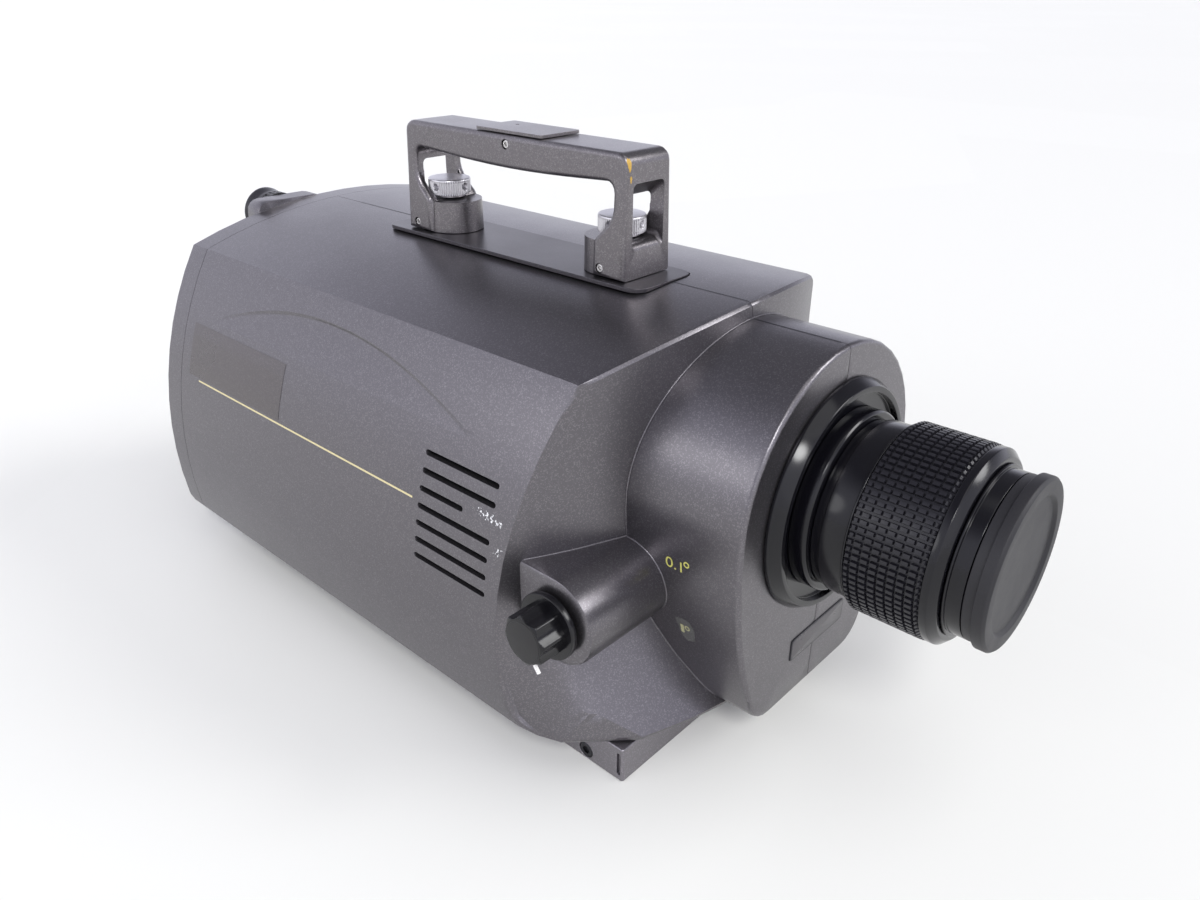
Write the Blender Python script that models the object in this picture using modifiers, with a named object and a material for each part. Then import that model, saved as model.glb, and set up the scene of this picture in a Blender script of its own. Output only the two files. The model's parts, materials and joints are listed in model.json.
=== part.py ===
"""Portable spectroradiometer: a two-shell housing with an arched nose, a focusing lens, a selector
knob that drives an aperture slide by rack and pinion, a viewfinder and a carrying handle.

World frame, metres: +Z up, the lens looks along -Y, x = 0 is the upright plane through the lens
axis, and z = 0 is the surface that the base block and the rear feet stand on.
"""
import bmesh
import bpy
from math import acos, asin, atan2, cos, hypot, pi, radians, sin, sqrt, tan
from mathutils import Vector

# Clearances shared by all pieces
GAP = 0.0003
OVERRUN = 0.004
MERGE = 0.00002

# Housing
BODY_FRONT = 0.0397
BODY_LENGTH = 0.2572
BODY_LEFT = 0.1021
BODY_RIGHT = 0.0595
BODY_DROP = 0.0855
WALL = 0.003
CROWN_HEIGHT = 0.0626
CROWN_RADIUS = 0.259
CROWN_OFFSET = 0.0116
SIDE_RADIUS = 0.1815
SIDE_WIDEST_DROP = 0.0499
TOP_CORNER = 0.0045
BOTTOM_CORNER = 0.009
FRONT_EDGE = 0.0028
BOW_RADIUS = 0.171
CHIN_START = 0.0189
CHIN_REACH = 0.0305
CHIN_CORNER = 0.019

# Nose
NOSE_LENGTH = 0.0394
NOSE_RADIUS = 0.0564
NOSE_LIFT = 0.0013
NOSE_CORNER = 0.014
NOSE_EDGE = 0.0018
NOSE_ROOT = 0.03
LENS_HOLE_RADIUS = 0.0306

# Knob pod
POD_AHEAD = 0.0087
POD_DROP = 0.0299
POD_RADIUS = 0.017
POD_FACE = 0.0928
POD_EDGE = 0.0015
POD_BACK = 0.021
POD_ROOT = 0.048

# Pressed scoop in the left side
SCOOP_PEAK = 0.1477
SCOOP_RISE = 0.037
SCOOP_BASE = 0.02
SCOOP_REAR = 0.088
SCOOP_FRONT = 0.096
SCOOP_DEPTH = 0.0021
SCOOP_WALL = 0.0024
SCOOP_CLEAR = 0.00005

# Vent slots
VENT_COUNT = 7
VENT_SHORT = 2
VENT_PITCH = 0.00655
VENT_TOP = 0.0112
VENT_LENGTH = 0.0394
VENT_SHORT_LENGTH = 0.0241
VENT_WIDTH = 0.0021
VENT_REAR = 0.0748

# Rear cover
COVER_DEPTH = 0.0172
COVER_EDGE = 0.005
FINDER_LEFT = 0.0194
FINDER_RISE = 0.0516
FINDER_BOX_WIDTH = 0.038
FINDER_BOX_RISE = 0.011
FINDER_BOX_DEPTH = 0.0055
FINDER_BOX_CORNER = 0.006
PANEL_RISE = 0.012
PANEL_PITCH = 0.034
COVER_SCREW_INSET = 0.0125

# Base block and feet
BASE_HEIGHT = 0.0157
BASE_AHEAD = 0.0505
BASE_LENGTH = 0.094
BASE_LEFT = 0.0786
BASE_RIGHT = 0.0464
BASE_EDGE = 0.0008
BASE_SCREW_BACK = 0.0183
BASE_SCREW_HEIGHT = 0.0044
BASE_SCREW_RADIUS = 0.0031
BASE_SLOT_BACK = 0.0021
BASE_SLOT_WIDTH = 0.0018
BASE_SLOT_HEIGHT = 0.0105
BASE_SLOT_DEPTH = 0.0015
SOCKET_BACK = 0.022
SOCKET_RADIUS = 0.0048
SOCKET_DEPTH = 0.011
PIN_HOLE_BACK = 0.036
PIN_HOLE_RADIUS = 0.0022
PIN_HOLE_DEPTH = 0.006
FOOT_RADIUS = 0.009
FOOT_WAIST = 0.0072
FOOT_BACK = 0.188
FOOT_SPREAD = 0.052
FOOT_MIDDLE = 0.0215

# Handle and its seat plate
HANDLE_FRONT = 0.007
HANDLE_LENGTH = 0.1273
HANDLE_HEIGHT = 0.046
HANDLE_MIDDLE = 0.0031
HANDLE_HALF = 0.0143
HANDLE_TOP_HALF = 0.0123
HANDLE_EDGE = 0.002
HANDLE_TOP_CORNER = 0.0046
HANDLE_NECK = 0.0065
HANDLE_BAR = 0.0107
HANDLE_GAP_CORNER = 0.0038
HANDLE_SAG = 0.0021
HANDLE_FOOT_DEPTH = 0.0157
HANDLE_FOOT_HEIGHT = 0.0131
HANDLE_BOSS_RADIUS = 0.0124
WINDOW_HALF = 0.0089
WINDOW_INNER_HALF = 0.0101
WINDOW_CORNER = 0.0022
WINDOW_CHAMFER = 0.003
WINDOW_HEAD = 0.0002
SEAT_PLATE_THICKNESS = 0.0016
SEAT_PLATE_PROUD = 0.0004
SEAT_PLATE_FRONT = 0.0102
SEAT_PLATE_REAR = 0.0135
SEAT_PLATE_HALF = 0.017
SEAT_PLATE_CORNER = 0.006
SEAT_GAP = 0.0006
TOP_PLATE_LENGTH = 0.038
TOP_PLATE_HALF = 0.0108
TOP_PLATE_THICKNESS = 0.0012
TOP_PLATE_CORNER = 0.0008
TOP_PLATE_HOLE = 0.0009
GRUB_RADIUS = 0.0017
GRUB_DEPTH = 0.004
GRUB_SINK = 0.0005

# Thumbscrews
THUMB_INSET = 0.0128
THUMB_RADIUS = 0.0093
THUMB_HEIGHT = 0.0066
THUMB_TEETH = 18
THUMB_TOOTH = 0.0005
THUMB_COLLAR_RADIUS = 0.0072
THUMB_COLLAR_HEIGHT = 0.0014
THUMB_SHANK_RADIUS = 0.003
THUMB_CROSS_HOLE = 0.0015

# Lens, with places measured forward from the nose's flat face
TURN_STEPS = 32
TUBE_RADIUS = 0.027
TUBE_WALL = 0.0022
TUBE_BEHIND = 0.012
TUBE_AHEAD = 0.044
FLANGE_RADIUS = 0.0436
FLANGE_FRONT_RADIUS = 0.0413
FLANGE_THICKNESS = 0.0055
FLANGE_RIM = 0.0022
FLANGE_RECESS = 0.0026
MOUNT_RING_RADIUS = 0.0336
MOUNT_RING_AHEAD = 0.0097
MOUNT_RING_BEVEL = 0.0008
BARREL_RADIUS = 0.0318
BARREL_STEP = 0.0010
BARREL_STEP_LENGTH = 0.0035
BARREL_AHEAD = 0.0222
FOCUS_RADIUS = 0.0324
FOCUS_REAR_LIP = 0.0008
FOCUS_FRONT = 0.0549
BEZEL_LENGTH = 0.0049
BEZEL_BAND = 0.0025
BEZEL_RADIUS = 0.0342
BEZEL_FACE_RADIUS = 0.0316
GRIP_RADIUS = 0.0345
GRIP_RIBS = 32
GRIP_RIB_HEIGHT = 0.0008
CELL_RADIUS = 0.0286
CELL_RING = 0.0056
CELL_LIP_RADIUS = 0.0299
CELL_LIP = 0.0009
CELL_SPIGOT_RADIUS = 0.0272
CELL_SPIGOT = 0.0044
CELL_WALL = 0.0024
CELL_TAIL = 0.022
FRONT_GLASS_THICKNESS = 0.005
FRONT_GLASS_BULGE = 0.0022
FRONT_GLASS_BACK = 0.006
REAR_GLASS_THICKNESS = 0.006
REAR_GLASS_BULGE = 0.0015
CAP_RADIUS = 0.0286
CAP_LENGTH = 0.0078
CAP_RIM_RADIUS = 0.0299
CAP_RIM = 0.0044
CAP_FACE = 0.0022
CAP_RIM_WIDTH = 0.0069
CAP_RECESS = 0.0012
CAP_EDGE = 0.001

# Selector knob, shaft, pinion and aperture slide
SKIRT_RADIUS = 0.0124
SKIRT_LENGTH = 0.0025
KNOB_RADIUS = 0.0095
KNOB_LENGTH = 0.0105
KNOB_FLUTES = 8
KNOB_FLUTE_DEPTH = 0.0013
KNOB_FACE_RADIUS = 0.0082
KNOB_CHAMFER = 0.0007
KNOB_LAND_SHARE = 0.14
KNOB_FLUTE_SHARES = (0.2, 0.5, 0.8)
KNOB_EDGE = 0.0005
POINTER_WIDTH = 0.0011
POINTER_DEPTH = 0.0009
POINTER_REACH = 0.0118
POINTER_ANGLE = radians(-54)
SHAFT_RADIUS = 0.0025
SHAFT_INSIDE = 0.008
SHAFT_IN_KNOB = 0.005
BUSH_RADIUS = 0.006
BUSH_LENGTH = 0.009
BUSH_FLANGE = 0.0014
PINION_TEETH = 16
TOOTH_MODULE = 0.001
PINION_HALF_WIDTH = 0.005
PRESSURE_ANGLE = radians(20)
BACKLASH = 0.00025
SLIDE_HALF = 0.014
SLIDE_THICKNESS = 0.0026
SLIDE_BELOW = 0.048
SLIDE_ABOVE = 0.024
RACK_TEETH = 9
RACK_TEETH_BELOW = 3
APERTURE_RADII = (0.0016, 0.0011, 0.0007, 0.0004)
SELECTOR_SWEEP = radians(84)
GUIDE_WALL = 0.0025
GUIDE_LIP = 0.003
GUIDE_ABOVE = 0.03

# Bench and what stands on it
BENCH_THICKNESS = 0.005
BENCH_FEET = 0.004
BENCH_FOOT_RADIUS = 0.006
BENCH_LEFT = 0.082
BENCH_RIGHT = 0.044
BENCH_FRONT = 0.026
BENCH_REAR = 0.206
BENCH_INSET = 0.012
BRACKET_SHEET = 0.003
BRACKET_FOOT = 0.018
BRACKET_WIDTH = 0.03
OPTIC_RADIUS = 0.0125
OPTIC_THICKNESS = 0.005
SLIT_PLATE_SIZE = 0.022
SLIT_PLATE_THICKNESS = 0.001
SLIT_WIDTH = 0.0012
SLIT_HEIGHT = 0.009
SLIT_BACK = 0.022
MIRROR_BACK = 0.178
GRATING_BACK = 0.062
GRATING_LEFT = 0.042
FOCUSING_LEFT = 0.06
DETECTOR_BACK = 0.03
DETECTOR_LEFT = 0.07
GRATING_TURN = radians(24)
DETECTOR_TURN = radians(-12)
DETECTOR_SIZE = 0.026
CHIP_LENGTH = 0.016
CHIP_WIDTH = 0.006
CHIP_THICKNESS = 0.0022
BOARD_THICKNESS = 0.0016
BOARD_LENGTH = 0.15
BOARD_HEIGHT = 0.09
BOARD_BACK = 0.1
BOARD_DROP = 0.012
BOARD_STANDOFF = 0.005
BOARD_STANDOFF_RADIUS = 0.0032
BOARD_HOLE_INSET = 0.007

# Viewfinder
EYE_TUBE_RADIUS = 0.0092
EYE_TUBE_WALL = 0.0016
EYE_TUBE_INSIDE = 0.03
EYE_TUBE_OUTSIDE = 0.012
EYE_TUBE_NECK = 0.005
DIOPTER_RADIUS = 0.0118
DIOPTER_LENGTH = 0.0062
DIOPTER_RIBS = 18
DIOPTER_RIB = 0.0006
EYECUP_RADIUS = 0.0126
EYECUP_LENGTH = 0.0105
EYECUP_WALL = 0.0022
EYECUP_FLARE = 0.0012
EYE_GLASS_THICKNESS = 0.003
EYE_GLASS_BULGE = 0.0012

# Rear panel parts
SWITCH_FRAME_WIDTH = 0.019
SWITCH_FRAME_HEIGHT = 0.013
SWITCH_FRAME_LIP = 0.0015
SWITCH_DEPTH = 0.010
SWITCH_WALL = 0.0015
ROCKER_RISE = 0.0012
ROCKER_SWEEP = radians(14)
ROCKER_CLEARANCE = 0.0006
JACK_RADIUS = 0.0056
JACK_BORE = 0.0032
JACK_DEPTH = 0.011
JACK_LIP = 0.0012
JACK_PIN = 0.0011
SERIAL_WIDTH = 0.0308
SERIAL_HEIGHT = 0.0125
SERIAL_NOSE_WIDTH = 0.0184
SERIAL_NOSE_HEIGHT = 0.0079
SERIAL_NOSE = 0.0052
SERIAL_NOSE_WALL = 0.0006
SERIAL_SLANT = radians(10)
SERIAL_FLANGE = 0.0016
SERIAL_BODY = 0.008
SCREW_RADIUS = 0.0028
SCREW_HEAD = 0.0016
SCREW_SHANK_RADIUS = 0.0014
SCREW_SHANK = 0.0055

# Shares and counts of facets
SHOULDER_RISE_SHARE = 0.68
WINDOW_DROP_SHARE = 0.159
SHOULDER_SHARES = ((0.87, 0.14), (0.60, 0.32), (0.26, 0.56), (0.07, 0.80), (0.0, 1.0))
FACE_RING_SHARES = (0.86, 0.70, 0.50, 0.25)
SCOOP_STEPS = 14
SCOOP_SLOPE_SHARES = (0, 0.25, 0.5, 0.75, 1)
SCOOP_WALL_SHARES = (0.3, 0.65, 1)
ROUND_SIDES = 20
SMALL_SIDES = 10
FINE_SIDES = 8
CORNER_STEPS = 4
EDGE_STEPS = 3
ROUND_EDGE_STEPS = 2
CROWN_STEPS = 9
SIDE_STEPS = 10
WALL_STEPS = 4
FLOOR_STEPS = 7
NOSE_TOP_STEPS = 20
NOSE_SIDE_STEPS = 6
POD_STEPS = 14
SAG_STEPS = 5
FLANK_STEPS = 3
SHARP_ANGLE = radians(40)
CROSS_HOLE_ANGLES = (pi / 4, 3 * pi / 4)
RIB_SHARES = ((0, 0), (0.25, 1), (0.5, 1), (0.75, 0))
SCREW_FACE_SHARE = 0.6
DOME_SHARE = 0.75
SCREW_SHIFT_SHARE = 2.9
GRUB_FRONT_SHARE = 0.75
GRUB_REAR_SHARE = 0.4
LIGHTENING_SHARE = 0.6
GRATING_SHARE = 0.9
BOARD_CHIP_SHARES = ((-0.28, 0.2, 2), (0.1, -0.1, 1.5), (0.3, 0.22, 1))

# Turns that lay a flat outline in the plane that it is extruded from
ALONG_X = (pi / 2, 0, pi / 2)
ALONG_Y = (pi / 2, 0, 0)
ALONG_Z = (0, 0, 0)

# Places that follow from the sizes
FRONT_Y = -BODY_FRONT
SEAM_Y = FRONT_Y + BODY_LENGTH
NOSE_Y = FRONT_Y - NOSE_LENGTH
COVER_Y = SEAM_Y + COVER_DEPTH
FLOOR_Z = BASE_HEIGHT + GAP
LENS_HEIGHT = FLOOR_Z + BODY_DROP
NOSE_DROP = BODY_DROP - NOSE_LIFT
INNER_FLOOR_Z = FLOOR_Z + WALL
CROWN_Z = LENS_HEIGHT + CROWN_HEIGHT
SHAFT_Y = -BODY_FRONT + POD_AHEAD
SHAFT_Z = LENS_HEIGHT - POD_DROP
PLATE_TOP_Z = CROWN_Z + SEAT_PLATE_PROUD
HANDLE_BASE_Z = PLATE_TOP_Z + GAP
HANDLE_REAR = HANDLE_FRONT + HANDLE_LENGTH
HANDLE_GAP_HEIGHT = HANDLE_HEIGHT - HANDLE_BAR
HANDLE_SHOULDER = SHOULDER_RISE_SHARE * (HANDLE_GAP_HEIGHT - HANDLE_GAP_CORNER - HANDLE_FOOT_HEIGHT)
FOOT_TOP_Z = HANDLE_BASE_Z + HANDLE_FOOT_HEIGHT
THUMB_BASE_Z = FOOT_TOP_Z + 2 * GAP
BENCH_Z = INNER_FLOOR_Z + GAP + BENCH_FEET
BENCH_TOP_Z = BENCH_Z + BENCH_THICKNESS
PITCH_RADIUS = PINION_TEETH * TOOTH_MODULE / 2
RACK_Y = SHAFT_Y + PITCH_RADIUS
SLIDE_TRAVEL = PITCH_RADIUS * SELECTOR_SWEEP
SLIDE_FRONT = RACK_Y + TOOTH_MODULE + 2 * BACKLASH
KNOB_BACK = -POD_FACE - BUSH_FLANGE - 2 * GAP
FINDER_X = -FINDER_LEFT
FINDER_Z = LENS_HEIGHT + FINDER_RISE

PAINTS = {
    "gunmetal": ((0.135, 0.128, 0.132), 0.55, 0.42),
    "plate": ((0.085, 0.082, 0.085), 0.5, 0.45),
    "black_metal": ((0.012, 0.012, 0.013), 0.6, 0.3),
    "rubber": ((0.02, 0.02, 0.021), 0.0, 0.75),
    "black_plastic": ((0.015, 0.015, 0.016), 0.0, 0.38),
    "silver": ((0.72, 0.72, 0.74), 1.0, 0.3),
    "steel": ((0.45, 0.45, 0.46), 1.0, 0.35),
    "brass": ((0.62, 0.44, 0.18), 1.0, 0.35),
    "casting": ((0.3, 0.3, 0.31), 0.8, 0.5),
    "white": ((0.85, 0.85, 0.84), 0.0, 0.4),
    "glass": ((0.75, 0.82, 0.85), 0.0, 0.05),
    "mirror": ((0.9, 0.9, 0.92), 1.0, 0.04),
    "grating": ((0.55, 0.6, 0.8), 1.0, 0.12),
    "board": ((0.02, 0.16, 0.07), 0.0, 0.45),
}


def empty_scene():
    for thing in list(bpy.data.objects):
        bpy.data.objects.remove(thing, do_unlink=True)


def new_collection(name):
    made = bpy.data.collections.new(name)
    bpy.context.scene.collection.children.link(made)
    return made


empty_scene()
PARTS = new_collection("spectroradiometer")
CUTTERS = new_collection("cutters")


def paint(thing, finish):
    """Give a piece a material of its own."""
    colour, metallic, roughness = PAINTS[finish]
    made = bpy.data.materials.new(thing.name)
    made.use_nodes = True
    shader = made.node_tree.nodes["Principled BSDF"]
    shader.inputs["Base Color"].default_value = (*colour, 1)
    shader.inputs["Metallic"].default_value = metallic
    shader.inputs["Roughness"].default_value = roughness
    made.diffuse_color = (*colour, 1)
    thing.data.materials.clear()
    thing.data.materials.append(made)


def add(name, data, finish=None, at=(0, 0, 0), turn=(0, 0, 0)):
    """Put a mesh or curve into the scene as one named piece, or as a tool when it has no finish."""
    thing = bpy.data.objects.new(name, data)
    thing.location = at
    thing.rotation_euler = turn
    if finish:
        PARTS.objects.link(thing)
        paint(thing, finish)
    else:
        CUTTERS.objects.link(thing)
        thing.hide_render = True
        thing.display_type = "WIRE"
    return thing


def mesh_from(name, bm):
    bmesh.ops.recalc_face_normals(bm, faces=bm.faces)
    mesh = bpy.data.meshes.new(name)
    bm.to_mesh(mesh)
    bm.free()
    return mesh


def solid_copy(thing, name, finish=None):
    """Replace a piece by the closed mesh that its curve or modifiers make."""
    bpy.context.view_layer.update()
    state = bpy.context.evaluated_depsgraph_get()
    mesh = bpy.data.meshes.new_from_object(thing.evaluated_get(state))
    bm = bmesh.new()
    bm.from_mesh(mesh)
    bmesh.ops.remove_doubles(bm, verts=bm.verts, dist=MERGE)
    bm.to_mesh(mesh)
    bm.free()
    made = add(name, mesh, finish)
    made.matrix_world = thing.matrix_world.copy()
    bpy.data.objects.remove(thing, do_unlink=True)
    return made


def combine(body, tool, operation="DIFFERENCE"):
    """Cut, join or intersect a piece with a tool by a Boolean modifier."""
    step = body.modifiers.new(tool.name, "BOOLEAN")
    step.operation = operation
    step.solver = "EXACT"
    step.object = tool


def block(name, low, high, finish=None):
    """A box between two opposite corners."""
    bm = bmesh.new()
    bmesh.ops.create_cube(bm, size=1)
    size = Vector(high) - Vector(low)
    bmesh.ops.scale(bm, vec=size, verts=bm.verts)
    bmesh.ops.translate(bm, vec=(Vector(low) + Vector(high)) / 2, verts=bm.verts)
    return add(name, mesh_from(name, bm), finish)


def rod(name, radius, length, at, turn=ALONG_Z, finish=None, sides=ROUND_SIDES, far_radius=None):
    """A cylinder or cone that starts at a place and runs along its turned axis."""
    bm = bmesh.new()
    end = radius if far_radius is None else far_radius
    bmesh.ops.create_cone(bm, cap_ends=True, segments=sides, radius1=radius, radius2=end, depth=length)
    bmesh.ops.translate(bm, vec=(0, 0, length / 2), verts=bm.verts)
    made = add(name, mesh_from(name, bm), finish, at, turn)
    made.data.shade_smooth()
    made.data.set_sharp_from_angle(angle=SHARP_ANGLE)
    return made


def sheet(name, loops, thickness, at, turn=ALONG_Z, finish=None, edge=0):
    """A flat outline with holes, extruded evenly to both sides of its plane."""
    curve = bpy.data.curves.new(name, "CURVE")
    curve.dimensions = "2D"
    curve.fill_mode = "BOTH"
    curve.extrude = thickness / 2 - edge
    curve.bevel_depth = edge
    curve.offset = -edge
    curve.bevel_resolution = 1
    for loop in loops:
        spline = curve.splines.new("POLY")
        spline.points.add(len(loop) - 1)
        for point, (u, v) in zip(spline.points, loop):
            point.co = (u, v, 0, 1)
        spline.use_cyclic_u = True
    return add(name, curve, finish, at, turn)


def sheet_tool(name, loops, thickness, at, turn=ALONG_Z):
    return solid_copy(sheet(name, loops, thickness, at, turn), name)


def turned(name, profile, at, turn, finish=None, ring=True, steps=TURN_STEPS):
    """Turn a profile of (radius, height) points about its own upright axis. The profile runs
    down its outer side first, and a ring's profile closes on itself."""
    count = len(profile)
    edges = [(i, i + 1) for i in range(count - 1)] + ([(count - 1, 0)] if ring else [])
    mesh = bpy.data.meshes.new(name)
    mesh.from_pydata([(radius, 0, height) for radius, height in profile], edges, [])
    made = add(name, mesh, finish, at, turn)
    screw = made.modifiers.new("turn", "SCREW")
    screw.steps = steps
    screw.render_steps = steps
    screw.use_merge_vertices = True
    screw.merge_threshold = MERGE
    screw.use_smooth_shade = True
    return made


def loft(name, rings, finish=None):
    """Skin rings that have the same number of points, with flat ends."""
    bm = bmesh.new()
    rows = [[bm.verts.new(point) for point in ring] for ring in rings]
    for near, far in zip(rows, rows[1:]):
        for i in range(len(near)):
            j = (i + 1) % len(near)
            bm.faces.new((near[i], near[j], far[j], far[i]))
    bm.faces.new(rows[0])
    bm.faces.new(rows[-1])
    return add(name, mesh_from(name, bm), finish)


def arc(centre, radius, start, end, steps):
    """Points on an arc, its two ends with it."""
    angles = [start + (end - start) * i / steps for i in range(steps + 1)]
    return [(centre[0] + radius * cos(a), centre[1] + radius * sin(a)) for a in angles]


def circle(radius, sides, centre=(0, 0)):
    return arc(centre, radius, 0, 2 * pi, sides)[:-1]


def rounded(left, right, low, high, corner, steps=CORNER_STEPS):
    """A rectangle with round corners."""
    points = []
    for cx, cy, start in ((right - corner, high - corner, 0), (left + corner, high - corner, pi / 2),
                          (left + corner, low + corner, pi), (right - corner, low + corner, 3 * pi / 2)):
        points += arc((cx, cy), corner, start, start + pi / 2, steps)
    return points


def ribbed(radius, rib, count):
    """A circle with square-cut ribs standing out to the radius."""
    points = []
    for i in range(count):
        for share, rise in RIB_SHARES:
            angle = 2 * pi * (i + share) / count
            reach = radius - rib * (1 - rise)
            points.append((reach * cos(angle), reach * sin(angle)))
    return points


# Housing form

def side_centre():
    return (SIDE_RADIUS - BODY_LEFT, -SIDE_WIDEST_DROP)


def side_x(rise):
    """How far out the bulged left side is, at a height above the lens axis."""
    centre = side_centre()
    return centre[0] - sqrt(SIDE_RADIUS ** 2 - (rise - centre[1]) ** 2)


def meeting(first, first_radius, second, second_radius):
    """The upper left point where two circles meet."""
    dx, dy = second[0] - first[0], second[1] - first[1]
    apart = hypot(dx, dy)
    along = (apart ** 2 + first_radius ** 2 - second_radius ** 2) / (2 * apart)
    across = sqrt(first_radius ** 2 - along ** 2)
    middle = (first[0] + along * dx / apart, first[1] + along * dy / apart)
    one = (middle[0] - across * dy / apart, middle[1] + across * dx / apart)
    two = (middle[0] + across * dy / apart, middle[1] - across * dx / apart)
    return min(one, two)


def between(start, end, steps):
    """The points that part a straight line into equal steps, without its ends."""
    shares = [i / steps for i in range(1, steps)]
    return [(start[0] + (end[0] - start[0]) * t, start[1] + (end[1] - start[1]) * t) for t in shares]


def body_section(inset):
    """The body's outline (across, up) about the lens axis, drawn in by an inset: crown, right
    wall, floor and bulged left side."""
    crown_centre = (CROWN_OFFSET, CROWN_HEIGHT - CROWN_RADIUS)
    crown_radius = CROWN_RADIUS - inset
    side_radius = SIDE_RADIUS - inset
    ridge = meeting(crown_centre, crown_radius, side_centre(), side_radius)
    right = BODY_RIGHT - inset
    floor = -BODY_DROP + inset
    top_corner = TOP_CORNER - inset
    corner = BOTTOM_CORNER - inset
    tangent_x = right - top_corner - crown_centre[0]
    tangent_angle = acos(tangent_x / (crown_radius - top_corner))
    corner_centre = (right - top_corner, crown_centre[1] + (crown_radius - top_corner) * sin(tangent_angle))
    ridge_angle = atan2(ridge[1] - crown_centre[1], ridge[0] - crown_centre[0])
    points = arc(crown_centre, crown_radius, ridge_angle, tangent_angle, CROWN_STEPS)
    points += arc(corner_centre, top_corner, tangent_angle, 0, EDGE_STEPS)[1:]
    points += between((right, corner_centre[1]), (right, floor + corner), WALL_STEPS)
    points += arc((right - corner, floor + corner), corner, 0, -pi / 2, EDGE_STEPS)
    lean = asin((side_centre()[1] - floor - corner) / (side_radius - corner))
    left_x = side_centre()[0] - (side_radius - corner) * cos(lean)
    points += between((right - corner, floor), (left_x, floor), FLOOR_STEPS)
    points += arc((left_x, floor + corner), corner, -pi / 2, -pi + lean, EDGE_STEPS)
    start = -pi + lean
    end = atan2(ridge[1] - side_centre()[1], ridge[0] - side_centre()[0]) - 2 * pi
    points += arc(side_centre(), side_radius, start, end, SIDE_STEPS)[1:-1]
    return points


def ease(share):
    """A smooth step from 0 to 1."""
    held = min(max(share, 0), 1)
    return held * held * (3 - 2 * held)


def front_y(x, rise):
    """The body's front face: bowed in plan, with a chin that reaches forward low down and fades
    out towards the sides."""
    depth = min(max((-rise - CHIN_START) / (BODY_DROP - CHIN_START), 0), 1)
    from_side = min(x + BODY_LEFT, BODY_RIGHT - x)
    chin = CHIN_REACH * depth ** 2 * ease(from_side / CHIN_CORNER)
    return FRONT_Y + x * x / (2 * BOW_RADIUS) - chin


def body_rings(inset, rear, edge):
    """Rings from the rear to the front edge's round, then over the front face to its middle."""
    def ring(outline, y_of):
        return [(x, y_of(x, rise), LENS_HEIGHT + rise) for x, rise in outline]

    face = body_section(inset + edge)
    rings = [ring(body_section(inset), lambda x, rise: rear)]
    for i in range(EDGE_STEPS + 1):
        angle = pi / 2 * i / EDGE_STEPS
        outline = body_section(inset + edge * (1 - cos(angle)))
        drop = edge * (1 - sin(angle))
        depth = [front_y(*point) + inset + drop for point in face]
        rings.append([(x, y, LENS_HEIGHT + rise) for (x, rise), y in zip(outline, depth)])
    middle = ((BODY_RIGHT - BODY_LEFT) / 2, (CROWN_HEIGHT - BODY_DROP) / 2)
    for share in FACE_RING_SHARES:
        outline = [(middle[0] + (x - middle[0]) * share, middle[1] + (rise - middle[1]) * share)
                   for x, rise in face]
        rings.append(ring(outline, lambda x, rise: front_y(x, rise) + inset))
    return rings


def nose_section(inset):
    """Half circle over the lens axis, sides that draw in below it, and round lower corners."""
    side_radius = SIDE_RADIUS - inset
    shift = SIDE_RADIUS - NOSE_RADIUS
    corner = NOSE_CORNER - inset
    floor = -NOSE_DROP + inset
    lean = asin((-floor - corner) / (side_radius - corner))
    corner_x = (side_radius - corner) * cos(lean) - shift
    right = arc((-shift, 0), side_radius, -lean, 0, NOSE_SIDE_STEPS)[:-1]
    top = arc((0, 0), NOSE_RADIUS - inset, 0, pi, NOSE_TOP_STEPS)
    left = [(-x, z) for x, z in reversed(right)]
    low_left = arc((-corner_x, floor + corner), corner, pi + lean, 3 * pi / 2, CORNER_STEPS)[1:]
    low_right = arc((corner_x, floor + corner), corner, -pi / 2, -lean, CORNER_STEPS)[:-1]
    return right + top + left + low_left + low_right


def nose_rings(inset, edge):
    rings = [[(x, FRONT_Y + NOSE_ROOT, LENS_HEIGHT + rise) for x, rise in nose_section(inset)]]
    for i in range(ROUND_EDGE_STEPS + 1):
        angle = pi / 2 * i / ROUND_EDGE_STEPS
        outline = nose_section(inset + edge * (1 - cos(angle)))
        y = NOSE_Y + inset + edge * (1 - sin(angle))
        rings.append([(x, y, LENS_HEIGHT + rise) for x, rise in outline])
    return rings


def pod_rings(inset, edge):
    """A U-shaped pod along X: round at the front, straight back into the body."""
    def outline(drawn):
        radius = POD_RADIUS - drawn
        back = POD_BACK
        return arc((0, 0), radius, pi / 2, 3 * pi / 2, POD_STEPS) + [(back, -radius), (back, radius)]

    rings = [[(-POD_ROOT, SHAFT_Y + y, SHAFT_Z + z) for y, z in outline(inset)]]
    for i in range(ROUND_EDGE_STEPS + 1):
        angle = pi / 2 * i / ROUND_EDGE_STEPS
        x = -POD_FACE + inset + edge * (1 - sin(angle))
        rings.append([(x, SHAFT_Y + y, SHAFT_Z + z) for y, z in outline(inset + edge * (1 - cos(angle)))])
    return rings


def housing_form(name, inset, rear):
    body = loft(name, body_rings(inset, rear, FRONT_EDGE if not inset else GAP))
    nose = loft(name + "_nose", nose_rings(inset, NOSE_EDGE if not inset else GAP))
    pod = loft(name + "_pod", pod_rings(inset, POD_EDGE if not inset else GAP))
    combine(body, nose, "UNION")
    combine(body, pod, "UNION")
    return solid_copy(body, name)


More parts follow.
